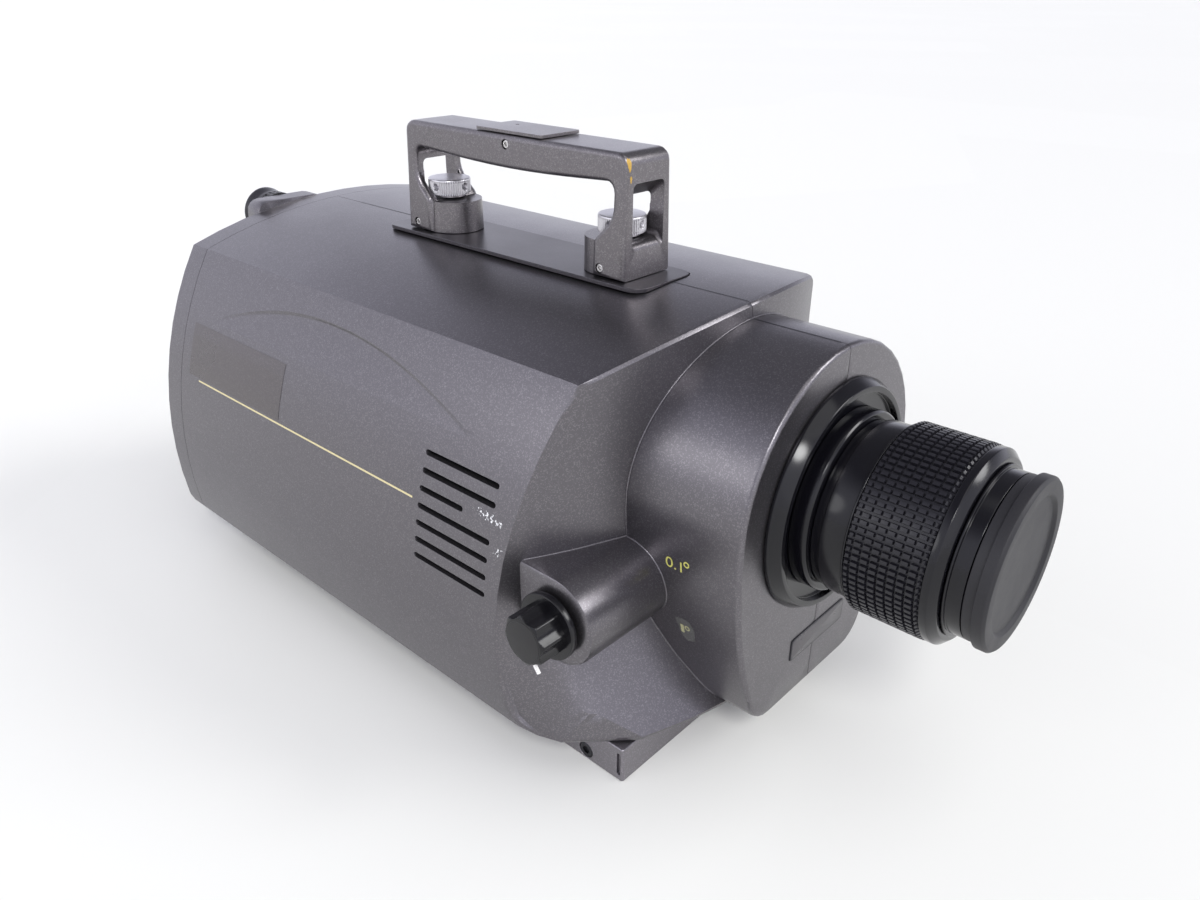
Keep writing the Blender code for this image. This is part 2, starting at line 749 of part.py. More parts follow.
def scoop_tool():
    """A lens-shaped hollow under an arch: upright slices from front to rear, each sloping in from
    the base line to the arch and back out over a short wall."""
    rings = []
    for i in range(2 * SCOOP_STEPS + 1):
        share = i / SCOOP_STEPS - 1
        reach = SCOOP_FRONT if share < 0 else SCOOP_REAR
        y = FRONT_Y + SCOOP_PEAK + reach * share
        height = (SCOOP_RISE - SCOOP_BASE) * (1 - share * share)
        depth = SCOOP_DEPTH * (1 - share * share)
        slope = [(SCOOP_BASE + height * t, depth * t) for t in SCOOP_SLOPE_SHARES]
        slope += [(SCOOP_BASE + height + SCOOP_WALL * t, depth * (1 - ease(t))) for t in SCOOP_WALL_SHARES]
        ring = [(side_x(rise) + sunk - SCOOP_CLEAR, y, LENS_HEIGHT + rise) for rise, sunk in slope]
        ring += [(-BODY_LEFT - OVERRUN, y, LENS_HEIGHT + rise) for rise in (slope[-1][0], slope[0][0])]
        rings.append(ring)
    return loft("scoop", rings)


def slot_outline(length, width):
    """A slot with round ends, centred."""
    half = (length - width) / 2
    return (arc((half, 0), width / 2, -pi / 2, pi / 2, CORNER_STEPS)
            + arc((-half, 0), width / 2, pi / 2, 3 * pi / 2, CORNER_STEPS))


def vent_tools():
    tools = []
    for i in range(VENT_COUNT):
        length = VENT_SHORT_LENGTH if i == VENT_SHORT else VENT_LENGTH
        z = LENS_HEIGHT + VENT_TOP - VENT_PITCH * i
        at = (-BODY_LEFT, FRONT_Y + VENT_REAR - length / 2, z)
        tools.append(sheet_tool(f"vent_{i + 1}", [slot_outline(length, VENT_WIDTH)], BODY_LEFT / 2, at,
                                ALONG_X))
    return tools


def seat_plate_outline(grow=0):
    front = HANDLE_FRONT - SEAT_PLATE_FRONT
    rear = HANDLE_REAR + SEAT_PLATE_REAR
    return rounded(-HANDLE_MIDDLE - SEAT_PLATE_HALF - grow, -HANDLE_MIDDLE + SEAT_PLATE_HALF + grow,
                   front - grow, rear + grow, SEAT_PLATE_CORNER + grow)


def seat_pocket_tool():
    """The shallow pocket in the crown that the handle's seat plate lies in."""
    floor = PLATE_TOP_Z - SEAT_PLATE_THICKNESS - GAP
    top = CROWN_Z + OVERRUN
    return sheet_tool("seat_pocket", [seat_plate_outline(SEAT_GAP)], top - floor, (0, 0, (floor + top) / 2))


def shells():
    """Hollow the housing, open it, and part it along the lens plane into two shells."""
    shell = housing_form("housing", 0, SEAM_Y)
    hollow = housing_form("hollow", WALL, SEAM_Y + OVERRUN)
    tools = [hollow, scoop_tool(), seat_pocket_tool()] + vent_tools()
    tools.append(rod("lens_opening", LENS_HOLE_RADIUS, NOSE_LENGTH,
                     (0, NOSE_Y + NOSE_LENGTH / 2, LENS_HEIGHT), ALONG_Y,
                     sides=TURN_STEPS))
    tools.append(rod("bush_opening", BUSH_RADIUS + GAP, POD_ROOT, (-POD_FACE - OVERRUN, SHAFT_Y, SHAFT_Z),
                     ALONG_X))
    for tool in tools:
        combine(shell, tool)
    shell = solid_copy(shell, "housing_cut")
    reach = BODY_LEFT + OVERRUN
    for name, low_x, high_x in (("left_shell", -reach, -GAP / 2), ("right_shell", GAP / 2, reach)):
        half = add(name, shell.data.copy(), "gunmetal")
        side = block(name + "_side", (low_x, NOSE_Y - OVERRUN, 0), (high_x, SEAM_Y + OVERRUN, 2 * CROWN_Z))
        combine(half, side, "INTERSECT")


# Rear cover and what it carries

def finder_box():
    half = FINDER_BOX_WIDTH / 2
    return rounded(-half, half, -half, FINDER_BOX_RISE, FINDER_BOX_CORNER)


def panel_places():
    """Middle of the switch, the power inlet and the serial connector on the cover's back."""
    z = LENS_HEIGHT - PANEL_RISE
    return {"switch": (PANEL_PITCH / 2, z), "jack": (PANEL_PITCH / 2, z - PANEL_PITCH),
            "serial": (-PANEL_PITCH, z - PANEL_PITCH)}


def cover_screw_places():
    inset = COVER_SCREW_INSET
    high = LENS_HEIGHT + CROWN_HEIGHT - 2 * inset
    low = FLOOR_Z + inset
    return [(-BODY_LEFT + SCREW_SHIFT_SHARE * inset, high), (BODY_RIGHT - inset, high),
            (-BODY_LEFT + inset, low), (BODY_RIGHT - inset, low)]


def rear_cover():
    """A shallow tray that carries on the body's section, with a raised box for the eyepiece."""
    def rings(inset, front, back, edge):
        made = [[(x, front, LENS_HEIGHT + rise) for x, rise in body_section(inset)]]
        for i in range(EDGE_STEPS + 1):
            angle = pi / 2 * i / EDGE_STEPS
            drawn = min(inset + edge * (1 - cos(angle)), TOP_CORNER - GAP)
            y = back - edge * (1 - sin(angle))
            made.append([(x, y, LENS_HEIGHT + rise) for x, rise in body_section(drawn)])
        return made

    cover = loft("cover_form", rings(0, SEAM_Y + GAP, COVER_Y, COVER_EDGE))
    box = sheet_tool("finder_box", [finder_box()], 2 * FINDER_BOX_DEPTH, (FINDER_X, COVER_Y, FINDER_Z),
                     ALONG_Y)
    combine(cover, box, "UNION")
    cover = solid_copy(cover, "rear_cover", "gunmetal")
    tray = loft("cover_hollow", rings(WALL, SEAM_Y - OVERRUN, COVER_Y - WALL, GAP))
    tools = [tray]
    box_back = COVER_Y + FINDER_BOX_DEPTH + OVERRUN
    tools.append(rod("eye_opening", EYE_TUBE_NECK + GAP, COVER_DEPTH + FINDER_BOX_DEPTH,
                     (FINDER_X, box_back, FINDER_Z), ALONG_Y))
    places = panel_places()
    tools.append(sheet_tool("switch_opening",
                            [rectangle(SWITCH_FRAME_WIDTH + 2 * GAP, SWITCH_FRAME_HEIGHT + 2 * GAP)],
                            4 * WALL, (places["switch"][0], COVER_Y, places["switch"][1]), ALONG_Y))
    tools.append(rod("jack_opening", JACK_RADIUS + GAP, 4 * WALL,
                     (places["jack"][0], COVER_Y + 2 * WALL, places["jack"][1]), ALONG_Y))
    tools.append(sheet_tool("serial_opening",
                            [rectangle(SERIAL_NOSE_WIDTH + 2 * GAP, SERIAL_NOSE_HEIGHT + 2 * GAP)],
                            4 * WALL, (places["serial"][0], COVER_Y, places["serial"][1]), ALONG_Y))
    for i, (x, z) in enumerate(cover_screw_places()):
        tools.append(rod(f"cover_screw_hole_{i + 1}", SCREW_SHANK_RADIUS + GAP, 4 * WALL,
                         (x, COVER_Y + 2 * WALL, z), ALONG_Y, sides=SMALL_SIDES))
    for tool in tools:
        combine(cover, tool)


def rectangle(width, height):
    return [(-width / 2, -height / 2), (width / 2, -height / 2), (width / 2, height / 2),
            (-width / 2, height / 2)]


def screw(name, at, turn, radius=SCREW_RADIUS, shank=SCREW_SHANK):
    """A pan-head screw whose head stands on the place and whose shank runs back from it."""
    profile = [(0, SCREW_HEAD), (radius * SCREW_FACE_SHARE, SCREW_HEAD), (radius, SCREW_HEAD / 2),
               (radius, 0),
               (SCREW_SHANK_RADIUS, 0), (SCREW_SHANK_RADIUS, -shank), (0, -shank)]
    turned(name, profile, at, turn, "steel", ring=False, steps=SMALL_SIDES)


def cover_screws():
    facing = (-pi / 2, 0, 0)
    for i, (x, z) in enumerate(cover_screw_places()):
        screw(f"cover_screw_{i + 1}", (x, COVER_Y + GAP, z), facing)


def switch():
    """A rocker in its frame; the rocker tips about a cross axis at the frame's mouth."""
    x, z = panel_places()["switch"]
    outer = rectangle(SWITCH_FRAME_WIDTH, SWITCH_FRAME_HEIGHT)
    inner = rectangle(SWITCH_FRAME_WIDTH - 2 * SWITCH_WALL, SWITCH_FRAME_HEIGHT - 2 * SWITCH_WALL)
    middle_y = COVER_Y + SWITCH_FRAME_LIP - SWITCH_DEPTH / 2
    sleeve = sheet_tool("switch_sleeve", [outer], SWITCH_DEPTH, (x, middle_y, z), ALONG_Y)
    lip_size = 2 * SWITCH_FRAME_LIP
    lip = sheet("switch_lip", [rectangle(SWITCH_FRAME_WIDTH + lip_size, SWITCH_FRAME_HEIGHT + lip_size)],
                SWITCH_FRAME_LIP, (x, COVER_Y + GAP + SWITCH_FRAME_LIP / 2, z), ALONG_Y)
    frame = solid_copy(lip, "switch_frame", "black_plastic")
    combine(frame, sleeve, "UNION")
    well = sheet_tool("switch_well", [inner], SWITCH_DEPTH, (x, middle_y + SWITCH_WALL, z), ALONG_Y)
    combine(frame, well)
    half = SWITCH_FRAME_WIDTH / 2 - SWITCH_WALL - ROCKER_CLEARANCE
    sink = SWITCH_DEPTH / 2
    outline = [(-half, 2 * ROCKER_RISE), (-half, -sink / 2), (-half / 2, -sink), (half / 2, -sink),
               (half, -sink / 2), (half, 2 * ROCKER_RISE), (0, ROCKER_RISE)]
    width = SWITCH_FRAME_HEIGHT - 2 * SWITCH_WALL - 2 * ROCKER_CLEARANCE
    pivot = (x, COVER_Y + SWITCH_FRAME_LIP, z)
    sheet("power_rocker", [outline], width, pivot, (0, 0, -ROCKER_SWEEP / 2), "black_plastic")


def rear_connectors():
    x, z = panel_places()["jack"]
    back = COVER_Y + GAP
    profile = [(JACK_RADIUS + JACK_LIP, JACK_LIP), (JACK_RADIUS + JACK_LIP, 0), (JACK_RADIUS, 0),
               (JACK_RADIUS, -JACK_DEPTH),
               (JACK_PIN, -JACK_DEPTH), (0, -JACK_DEPTH)]
    inner = [(0, 0), (JACK_PIN, 0), (JACK_PIN, JACK_LIP - JACK_DEPTH), (JACK_BORE, JACK_LIP - JACK_DEPTH),
             (JACK_BORE, JACK_LIP)]
    turned("power_inlet", inner + profile, (x, back, z), (-pi / 2, 0, 0), "black_plastic", ring=False,
           steps=ROUND_SIDES)
    x, z = panel_places()["serial"]
    lean = SERIAL_NOSE_HEIGHT * tan(SERIAL_SLANT)

    def shield(grow):
        half, high = SERIAL_NOSE_WIDTH / 2 - grow, SERIAL_NOSE_HEIGHT / 2 - grow
        return [(-half + lean, -high), (half - lean, -high), (half, high), (-half, high)]

    flange = sheet("serial_flange", [rectangle(SERIAL_WIDTH, SERIAL_HEIGHT)], SERIAL_FLANGE,
                   (x, COVER_Y - WALL - GAP - SERIAL_FLANGE / 2, z), ALONG_Y)
    connector = solid_copy(flange, "serial_connector", "steel")
    length = SERIAL_NOSE + WALL + SERIAL_FLANGE + SERIAL_BODY
    nose = sheet_tool("serial_nose", [shield(0)], length, (x, COVER_Y + SERIAL_NOSE - length / 2, z),
                      ALONG_Y)
    depth = SERIAL_NOSE + WALL
    well = sheet_tool("serial_well", [shield(SERIAL_NOSE_WALL)], 2 * depth, (x, COVER_Y + SERIAL_NOSE, z),
                      ALONG_Y)
    combine(connector, nose, "UNION")
    combine(connector, well)


def viewfinder():
    """Tube through the cover's box, with the eye lens, the diopter ring and the eyecup behind."""
    facing = (-pi / 2, 0, 0)
    back = COVER_Y + FINDER_BOX_DEPTH
    at = (FINDER_X, back, FINDER_Z)
    inner = EYE_TUBE_RADIUS - EYE_TUBE_WALL
    throat = EYE_TUBE_NECK - EYE_TUBE_WALL
    tube = [(EYE_TUBE_RADIUS, EYE_TUBE_OUTSIDE), (EYE_TUBE_RADIUS, GAP), (EYE_TUBE_NECK, GAP),
            (EYE_TUBE_NECK, -EYE_TUBE_INSIDE),
            (throat, -EYE_TUBE_INSIDE), (throat, EYE_TUBE_WALL), (inner, EYE_TUBE_WALL), (inner,
                                                                                          EYE_TUBE_OUTSIDE)]
    turned("eyepiece_tube", tube, at, facing, "black_metal", steps=ROUND_SIDES)
    half = EYE_GLASS_THICKNESS / 2
    rim = inner - GAP
    lens = [(0, half + EYE_GLASS_BULGE), (rim / 2, half + EYE_GLASS_BULGE * DOME_SHARE), (rim, half),
            (rim, -half),
            (rim / 2, -half - EYE_GLASS_BULGE * DOME_SHARE), (0, -half - EYE_GLASS_BULGE)]
    turned("eye_lens", lens, (FINDER_X, back + EYE_TUBE_OUTSIDE / 2, FINDER_Z), facing, "glass",
           ring=False, steps=ROUND_SIDES)
    bore = circle(EYE_TUBE_RADIUS + GAP, ROUND_SIDES)
    middle = back + GAP + DIOPTER_LENGTH / 2
    ring = sheet("diopter_ring", [ribbed(DIOPTER_RADIUS, DIOPTER_RIB, DIOPTER_RIBS), bore], DIOPTER_LENGTH,
                 (0, 0, 0), ALONG_Y,
                 "black_plastic")
    ring.location = (FINDER_X, middle, FINDER_Z)
    start = DIOPTER_LENGTH + 2 * GAP
    cup_bore = EYE_TUBE_RADIUS + GAP
    cup = [(EYECUP_RADIUS - EYECUP_WALL / 2, start + EYECUP_LENGTH),
           (EYECUP_RADIUS, start + EYECUP_LENGTH - EYECUP_FLARE),
           (EYECUP_RADIUS - EYECUP_FLARE, start), (cup_bore, start), (cup_bore, EYE_TUBE_OUTSIDE),
           (EYECUP_RADIUS - EYECUP_WALL, start + EYECUP_LENGTH - EYECUP_FLARE)]
    turned("eye_cup", cup, at, facing, "rubber", steps=ROUND_SIDES)


# Base block and feet

def base_block():
    height = FLOOR_Z - GAP
    front = -BASE_AHEAD
    rear = front + BASE_LENGTH
    outline = rounded(-BASE_LEFT, BASE_RIGHT, front, rear, BASE_EDGE, 1)
    form = sheet("base_form", [outline], height, (0, 0, height / 2), ALONG_Z, None, BASE_EDGE)
    base = solid_copy(form, "base_block", "gunmetal")
    tools = [rod("tripod_socket", SOCKET_RADIUS, SOCKET_DEPTH + OVERRUN, (0, SOCKET_BACK, -OVERRUN)),
             rod("pin_hole", PIN_HOLE_RADIUS, PIN_HOLE_DEPTH + OVERRUN, (0, PIN_HOLE_BACK, -OVERRUN),
                 sides=SMALL_SIDES)]
    slot = slot_outline(BASE_SLOT_HEIGHT, BASE_SLOT_WIDTH)
    slot = [(v, u) for u, v in reversed(slot)]
    tools.append(sheet_tool("base_slot", [slot], 2 * BASE_SLOT_DEPTH,
                            (-BASE_LEFT, front + BASE_SLOT_BACK, height / 2), ALONG_X))
    for side, x in (("left", -BASE_LEFT), ("right", BASE_RIGHT)):
        inward = 1 if side == "left" else -1
        start = x - inward * OVERRUN
        recess = SCREW_HEAD + GAP
        turn = (0, inward * pi / 2, 0)
        y = front + BASE_SCREW_BACK
        tools.append(rod(f"base_recess_{side}", BASE_SCREW_RADIUS + GAP, OVERRUN + recess,
                         (start, y, BASE_SCREW_HEIGHT), turn))
        tools.append(rod(f"base_hole_{side}", SCREW_SHANK_RADIUS + GAP,
                         OVERRUN + recess + SCREW_SHANK + GAP,
                         (start, y, BASE_SCREW_HEIGHT), turn, sides=SMALL_SIDES))
        head = x + inward * SCREW_HEAD
        screw(f"base_screw_{side}", (head, y, BASE_SCREW_HEIGHT), (0, -inward * pi / 2, 0),
              BASE_SCREW_RADIUS)
    for tool in tools:
        combine(base, tool)


def feet():
    top = FLOOR_Z - GAP
    profile = [(0, top), (FOOT_WAIST, top), (FOOT_RADIUS, top / 4), (FOOT_RADIUS - BASE_EDGE, 0), (0, 0)]
    for name, x in (("rear_foot_left", -FOOT_MIDDLE - FOOT_SPREAD),
                    ("rear_foot_right", -FOOT_MIDDLE + FOOT_SPREAD)):
        turned(name, profile, (x, FOOT_BACK, 0), ALONG_Z, "rubber", ring=False, steps=ROUND_SIDES)


# Handle

def thumb_places():
    return [("front", HANDLE_FRONT + THUMB_INSET), ("rear", HANDLE_REAR - THUMB_INSET)]


def seat_plate():
    holes = [circle(THUMB_SHANK_RADIUS + GAP, ROUND_SIDES, (-HANDLE_MIDDLE, y)) for _, y in thumb_places()]
    z = PLATE_TOP_Z - SEAT_PLATE_THICKNESS / 2
    sheet("seat_plate", [seat_plate_outline()] + holes, SEAT_PLATE_THICKNESS, (0, 0, z), ALONG_Z, "plate")


def handle_half_outline():
    """Half of the handle seen from its side, as (distance from the end, height above the seat):
    up the end, along the top to the middle, and back along the gap down to the foot."""
    corner = HANDLE_TOP_CORNER
    outer = [(0, 0)] + arc((corner, HANDLE_HEIGHT - corner), corner, pi, pi / 2, CORNER_STEPS)
    middle = HANDLE_LENGTH / 2
    radius = HANDLE_GAP_CORNER
    start = HANDLE_NECK + radius
    under = []
    for i in range(SAG_STEPS):
        share = 1 - i / SAG_STEPS
        under.append((start + (middle - start) * share,
                      HANDLE_GAP_HEIGHT - HANDLE_SAG * sin(pi / 2 * share)))
    bend = arc((start, HANDLE_GAP_HEIGHT - radius), radius, pi / 2, pi, CORNER_STEPS)
    shoulder = [(HANDLE_NECK + (HANDLE_FOOT_DEPTH - HANDLE_NECK) * across,
                 HANDLE_FOOT_HEIGHT + HANDLE_SHOULDER * up)
                for across, up in reversed(SHOULDER_SHARES)]
    foot = [(HANDLE_FOOT_DEPTH, HANDLE_FOOT_HEIGHT), (HANDLE_FOOT_DEPTH, 0)]
    return outer, under, bend + shoulder + foot


def handle():
    outer, under, inner = handle_half_outline()
    length = HANDLE_LENGTH
    lower_near = under + inner
    far = [(length - e, h) for e, h in reversed(outer)]
    lower_far = [(length - e, h) for e, h in reversed(lower_near[1:])]
    outline = outer + far + lower_far + lower_near
    points = [(HANDLE_FRONT + e, HANDLE_BASE_Z + h) for e, h in outline]
    form = sheet("handle_form", [points], 2 * HANDLE_HALF, (-HANDLE_MIDDLE, 0, 0), ALONG_X, None,
                 HANDLE_EDGE)
    form = solid_copy(form, "handle_form")
    for i, y in enumerate((HANDLE_FRONT + HANDLE_FOOT_DEPTH, HANDLE_REAR - HANDLE_FOOT_DEPTH)):
        boss = rod(f"handle_boss_{i + 1}", HANDLE_BOSS_RADIUS, HANDLE_FOOT_HEIGHT,
                   (-HANDLE_MIDDLE, y, HANDLE_BASE_Z),
                   sides=2 * ROUND_SIDES)
        combine(form, boss, "UNION")
    grip = solid_copy(form, "handle", "gunmetal")
    slim(grip)
    tools = window_tools()
    for name, y in thumb_places():
        tools.append(rod(f"thumb_hole_{name}", THUMB_SHANK_RADIUS + GAP, HANDLE_HEIGHT / 2,
                         (-HANDLE_MIDDLE, y, HANDLE_BASE_Z - OVERRUN)))
    for i, place in enumerate(grub_places()):
        tools.append(rod(f"grub_hole_{i + 1}", GRUB_RADIUS + GAP, GRUB_DEPTH + OVERRUN + GRUB_SINK + GAP,
                         (place[0] - OVERRUN, place[1], place[2]), (0, pi / 2, 0), sides=SMALL_SIDES))
    for tool in tools:
        combine(grip, tool)


def half_width(height):
    """Half the handle's width at a height above its seat."""
    return HANDLE_HALF + (HANDLE_TOP_HALF - HANDLE_HALF) * height / HANDLE_HEIGHT


def slim(grip):
    """Draw the handle in towards its top."""
    world = grip.matrix_world
    back = world.inverted()
    for vertex in grip.data.vertices:
        place = world @ vertex.co
        share = half_width(place.z - HANDLE_BASE_Z) / HANDLE_HALF
        place.x = -HANDLE_MIDDLE + (place.x + HANDLE_MIDDLE) * share
        vertex.co = back @ place


def window_tools():
    """Openings through both legs, along the handle, with slopes at the outer sill and under the
    head, and wider behind the leg for the thumbscrew."""
    low = FOOT_TOP_Z + GAP
    high = HANDLE_BASE_Z + HANDLE_GAP_HEIGHT - WINDOW_HEAD
    sill = low - WINDOW_CHAMFER
    drop = WINDOW_DROP_SHARE * HANDLE_GAP_HEIGHT
    head = high - drop
    depth = HANDLE_FOOT_DEPTH + HANDLE_BOSS_RADIUS
    behind = HANDLE_NECK + GAP
    stations = ((-OVERRUN, WINDOW_HALF, sill, high), (0, WINDOW_HALF, sill, high),
                (WINDOW_CHAMFER, WINDOW_HALF, low, high - drop * WINDOW_CHAMFER / behind),
                (behind, WINDOW_HALF, low, head), (behind + GAP, WINDOW_INNER_HALF, low, head),
                (depth, WINDOW_INNER_HALF, low, head))
    tools = []
    for name, end, way in (("front", HANDLE_FRONT, 1), ("rear", HANDLE_REAR, -1)):
        rings = []
        for inward, half, foot, top in stations:
            outline = rounded(-half, half, foot, top, WINDOW_CORNER)
            rings.append([(x - HANDLE_MIDDLE, end + way * inward, z) for x, z in outline])
        tools.append(loft(f"window_{name}", rings))
    return tools


def grub_places():
    """Left face of the handle: one in each foot and one in the bar."""
    low = HANDLE_FOOT_HEIGHT / 4
    high = HANDLE_HEIGHT - (HANDLE_HEIGHT - HANDLE_GAP_HEIGHT) / 3
    places = []
    for e, height in ((HANDLE_FOOT_DEPTH * GRUB_FRONT_SHARE, low),
                      (HANDLE_LENGTH - HANDLE_FOOT_DEPTH * GRUB_REAR_SHARE, low),
                      (HANDLE_LENGTH / 2, high)):
        places.append((-HANDLE_MIDDLE - half_width(height), HANDLE_FRONT + e, HANDLE_BASE_Z + height))
    return places


def grub_screws():
    for i, (x, y, z) in enumerate(grub_places()):
        rod(f"grub_screw_{i + 1}", GRUB_RADIUS, GRUB_DEPTH, (x + GRUB_SINK, y, z), (0, pi / 2, 0), "steel",
            SMALL_SIDES)


def top_plate():
    middle = HANDLE_FRONT + HANDLE_LENGTH / 2
    outline = rounded(-TOP_PLATE_HALF, TOP_PLATE_HALF, -TOP_PLATE_LENGTH / 2, TOP_PLATE_LENGTH / 2,
                      TOP_PLATE_CORNER, 1)
    hole = circle(TOP_PLATE_HOLE, SMALL_SIDES, (TOP_PLATE_HALF / 3, TOP_PLATE_LENGTH / 4))
    z = HANDLE_BASE_Z + HANDLE_HEIGHT + GAP + TOP_PLATE_THICKNESS / 2
    sheet("top_plate", [outline, hole], TOP_PLATE_THICKNESS, (-HANDLE_MIDDLE, middle, z), ALONG_Z,
          "gunmetal")


def thumb_form():
    """A knurled head with cross holes, on a collar and a shank, about an upright axis."""
    foot = PLATE_TOP_Z - SEAT_PLATE_THICKNESS / 2 - THUMB_BASE_Z
    middle = THUMB_COLLAR_HEIGHT + THUMB_HEIGHT / 2
    head = sheet_tool("thumb_head", [ribbed(THUMB_RADIUS, THUMB_TOOTH, THUMB_TEETH)], THUMB_HEIGHT,
                      (0, 0, middle))
    combine(head, rod("thumb_collar", THUMB_COLLAR_RADIUS, middle, (0, 0, 0)), "UNION")
    combine(head, rod("thumb_shank", THUMB_SHANK_RADIUS, middle - foot, (0, 0, foot)), "UNION")
    for turn in CROSS_HOLE_ANGLES:
        start = (-2 * THUMB_RADIUS * cos(turn), -2 * THUMB_RADIUS * sin(turn), middle)
        hole = rod("thumb_hole", THUMB_CROSS_HOLE, 4 * THUMB_RADIUS, start, (0, pi / 2, turn),
                   sides=FINE_SIDES)
        combine(head, hole)
    return solid_copy(head, "thumb_form")


def thumbscrews():
    form = thumb_form()
    for name, y in thumb_places():
        mesh = form.data.copy()
        mesh.transform(form.matrix_world)
        add(f"thumbscrew_{name}", mesh, "silver", (-HANDLE_MIDDLE, y, THUMB_BASE_Z))


# Lens

def lens_ring(name, profile, finish, ring=True, steps=TURN_STEPS):
    """Turn a profile of (radius, forward from the nose) about the lens axis."""
    return turned(name, profile, (0, NOSE_Y, LENS_HEIGHT), ALONG_Y, finish, ring, steps)


def fixed_lens_parts():
    """Tube, flange disc, mount ring and plain barrel, each a ring about the tube."""
    bore = TUBE_RADIUS + GAP
    inner = TUBE_RADIUS - TUBE_WALL
    tube = [(TUBE_RADIUS, TUBE_AHEAD), (TUBE_RADIUS, -TUBE_BEHIND), (inner, -TUBE_BEHIND),
            (inner, TUBE_AHEAD)]
    lens_ring("lens_tube", tube, "black_metal")
    rim = FLANGE_FRONT_RADIUS - FLANGE_RIM
    back = FLANGE_THICKNESS - FLANGE_RECESS
    flange = [(FLANGE_FRONT_RADIUS, FLANGE_THICKNESS), (FLANGE_RADIUS, FLANGE_THICKNESS / 4),
              (FLANGE_RADIUS, GAP), (bore, GAP), (bore, back), (rim, back), (rim, FLANGE_THICKNESS)]
    lens_ring("lens_flange", flange, "black_metal")
    start = back + GAP
    bevel = MOUNT_RING_BEVEL
    mount = [(MOUNT_RING_RADIUS - bevel, MOUNT_RING_AHEAD), (MOUNT_RING_RADIUS, MOUNT_RING_AHEAD - bevel),
             (MOUNT_RING_RADIUS, start), (bore, start), (bore, MOUNT_RING_AHEAD)]
    lens_ring("mount_ring", mount, "black_metal")
    start = MOUNT_RING_AHEAD + GAP
    step = start + BARREL_STEP_LENGTH
    waist = BARREL_RADIUS - BARREL_STEP
    barrel = [(BARREL_RADIUS, BARREL_AHEAD), (BARREL_RADIUS, step), (waist, step), (waist, start),
              (bore, start), (bore, BARREL_AHEAD)]
    lens_ring("lens_barrel", barrel, "black_metal")


def lens_disc(name, rim, middle, thickness, bulge):
    half = thickness / 2
    profile = [(0, middle + half + bulge), (rim / 2, middle + half + bulge * DOME_SHARE),
               (rim, middle + half),
               (rim, middle - half), (rim / 2, middle - half - bulge / 2), (0, middle - half - bulge / 2)]
    lens_ring(name, profile, "glass", False, ROUND_SIDES)


def focusing_parts():
    """The ring that turns, its rubber, and the cell that travels inside it."""
    bore = TUBE_RADIUS + GAP
    rear = BARREL_AHEAD + GAP
    body_front = FOCUS_FRONT - BEZEL_LENGTH
    lip = FOCUS_RADIUS + FOCUS_REAR_LIP
    body = [(BEZEL_FACE_RADIUS, FOCUS_FRONT), (BEZEL_RADIUS, body_front + BEZEL_BAND),
            (BEZEL_RADIUS, body_front), (FOCUS_RADIUS, body_front), (FOCUS_RADIUS, rear + FOCUS_REAR_LIP),
            (lip, rear + FOCUS_REAR_LIP), (lip, rear), (bore, rear), (bore, FOCUS_FRONT)]
    lens_ring("focus_ring", body, "black_metal")
    start = rear + FOCUS_REAR_LIP + GAP
    end = body_front - GAP
    at = (0, NOSE_Y - (start + end) / 2, LENS_HEIGHT)
    grip = [ribbed(GRIP_RADIUS, GRIP_RIB_HEIGHT, GRIP_RIBS), circle(FOCUS_RADIUS + GAP, TURN_STEPS)]
    sheet("focus_grip", grip, end - start, at, ALONG_Y, "rubber")
    outer = TUBE_RADIUS - TUBE_WALL - GAP
    inner = outer - CELL_WALL
    ring_back = FOCUS_FRONT + GAP
    ring_front = ring_back + CELL_RING
    front = ring_front + CELL_SPIGOT
    tail = ring_back - CELL_TAIL
    cell = [(CELL_SPIGOT_RADIUS, front), (CELL_SPIGOT_RADIUS, ring_front), (CELL_RADIUS, ring_front),
            (CELL_RADIUS, ring_back + CELL_LIP), (CELL_LIP_RADIUS, ring_back + CELL_LIP),
            (CELL_LIP_RADIUS, ring_back), (outer, ring_back), (outer, tail), (inner, tail), (inner, front)]
    lens_ring("front_cell", cell, "black_metal")
    lens_disc("front_lens", inner - GAP, front - FRONT_GLASS_BACK, FRONT_GLASS_THICKNESS, FRONT_GLASS_BULGE)
    lens_disc("rear_lens", outer, 0, REAR_GLASS_THICKNESS, REAR_GLASS_BULGE)


def lens_cap():
    """A push-on cap over the cell's spigot, with a rim round its sunk face."""
    start = FOCUS_FRONT + GAP + CELL_RING + GAP
    front = start + CAP_LENGTH
    bore = CELL_SPIGOT_RADIUS + GAP
    inside = front - CAP_FACE - CAP_RECESS
    step = front - CAP_RIM
    rim = CAP_RIM_RADIUS - CAP_RIM_WIDTH
    profile = [(0, front - CAP_RECESS), (rim, front - CAP_RECESS), (rim + CAP_RECESS, front),
               (CAP_RIM_RADIUS - CAP_EDGE, front), (CAP_RIM_RADIUS, front - CAP_EDGE), (CAP_RIM_RADIUS,
                                                                                        step),
               (CAP_RADIUS, step), (CAP_RADIUS, start), (bore, start), (bore, inside), (0, inside)]
    lens_ring("lens_cap", profile, "black_plastic", False)


# Selector

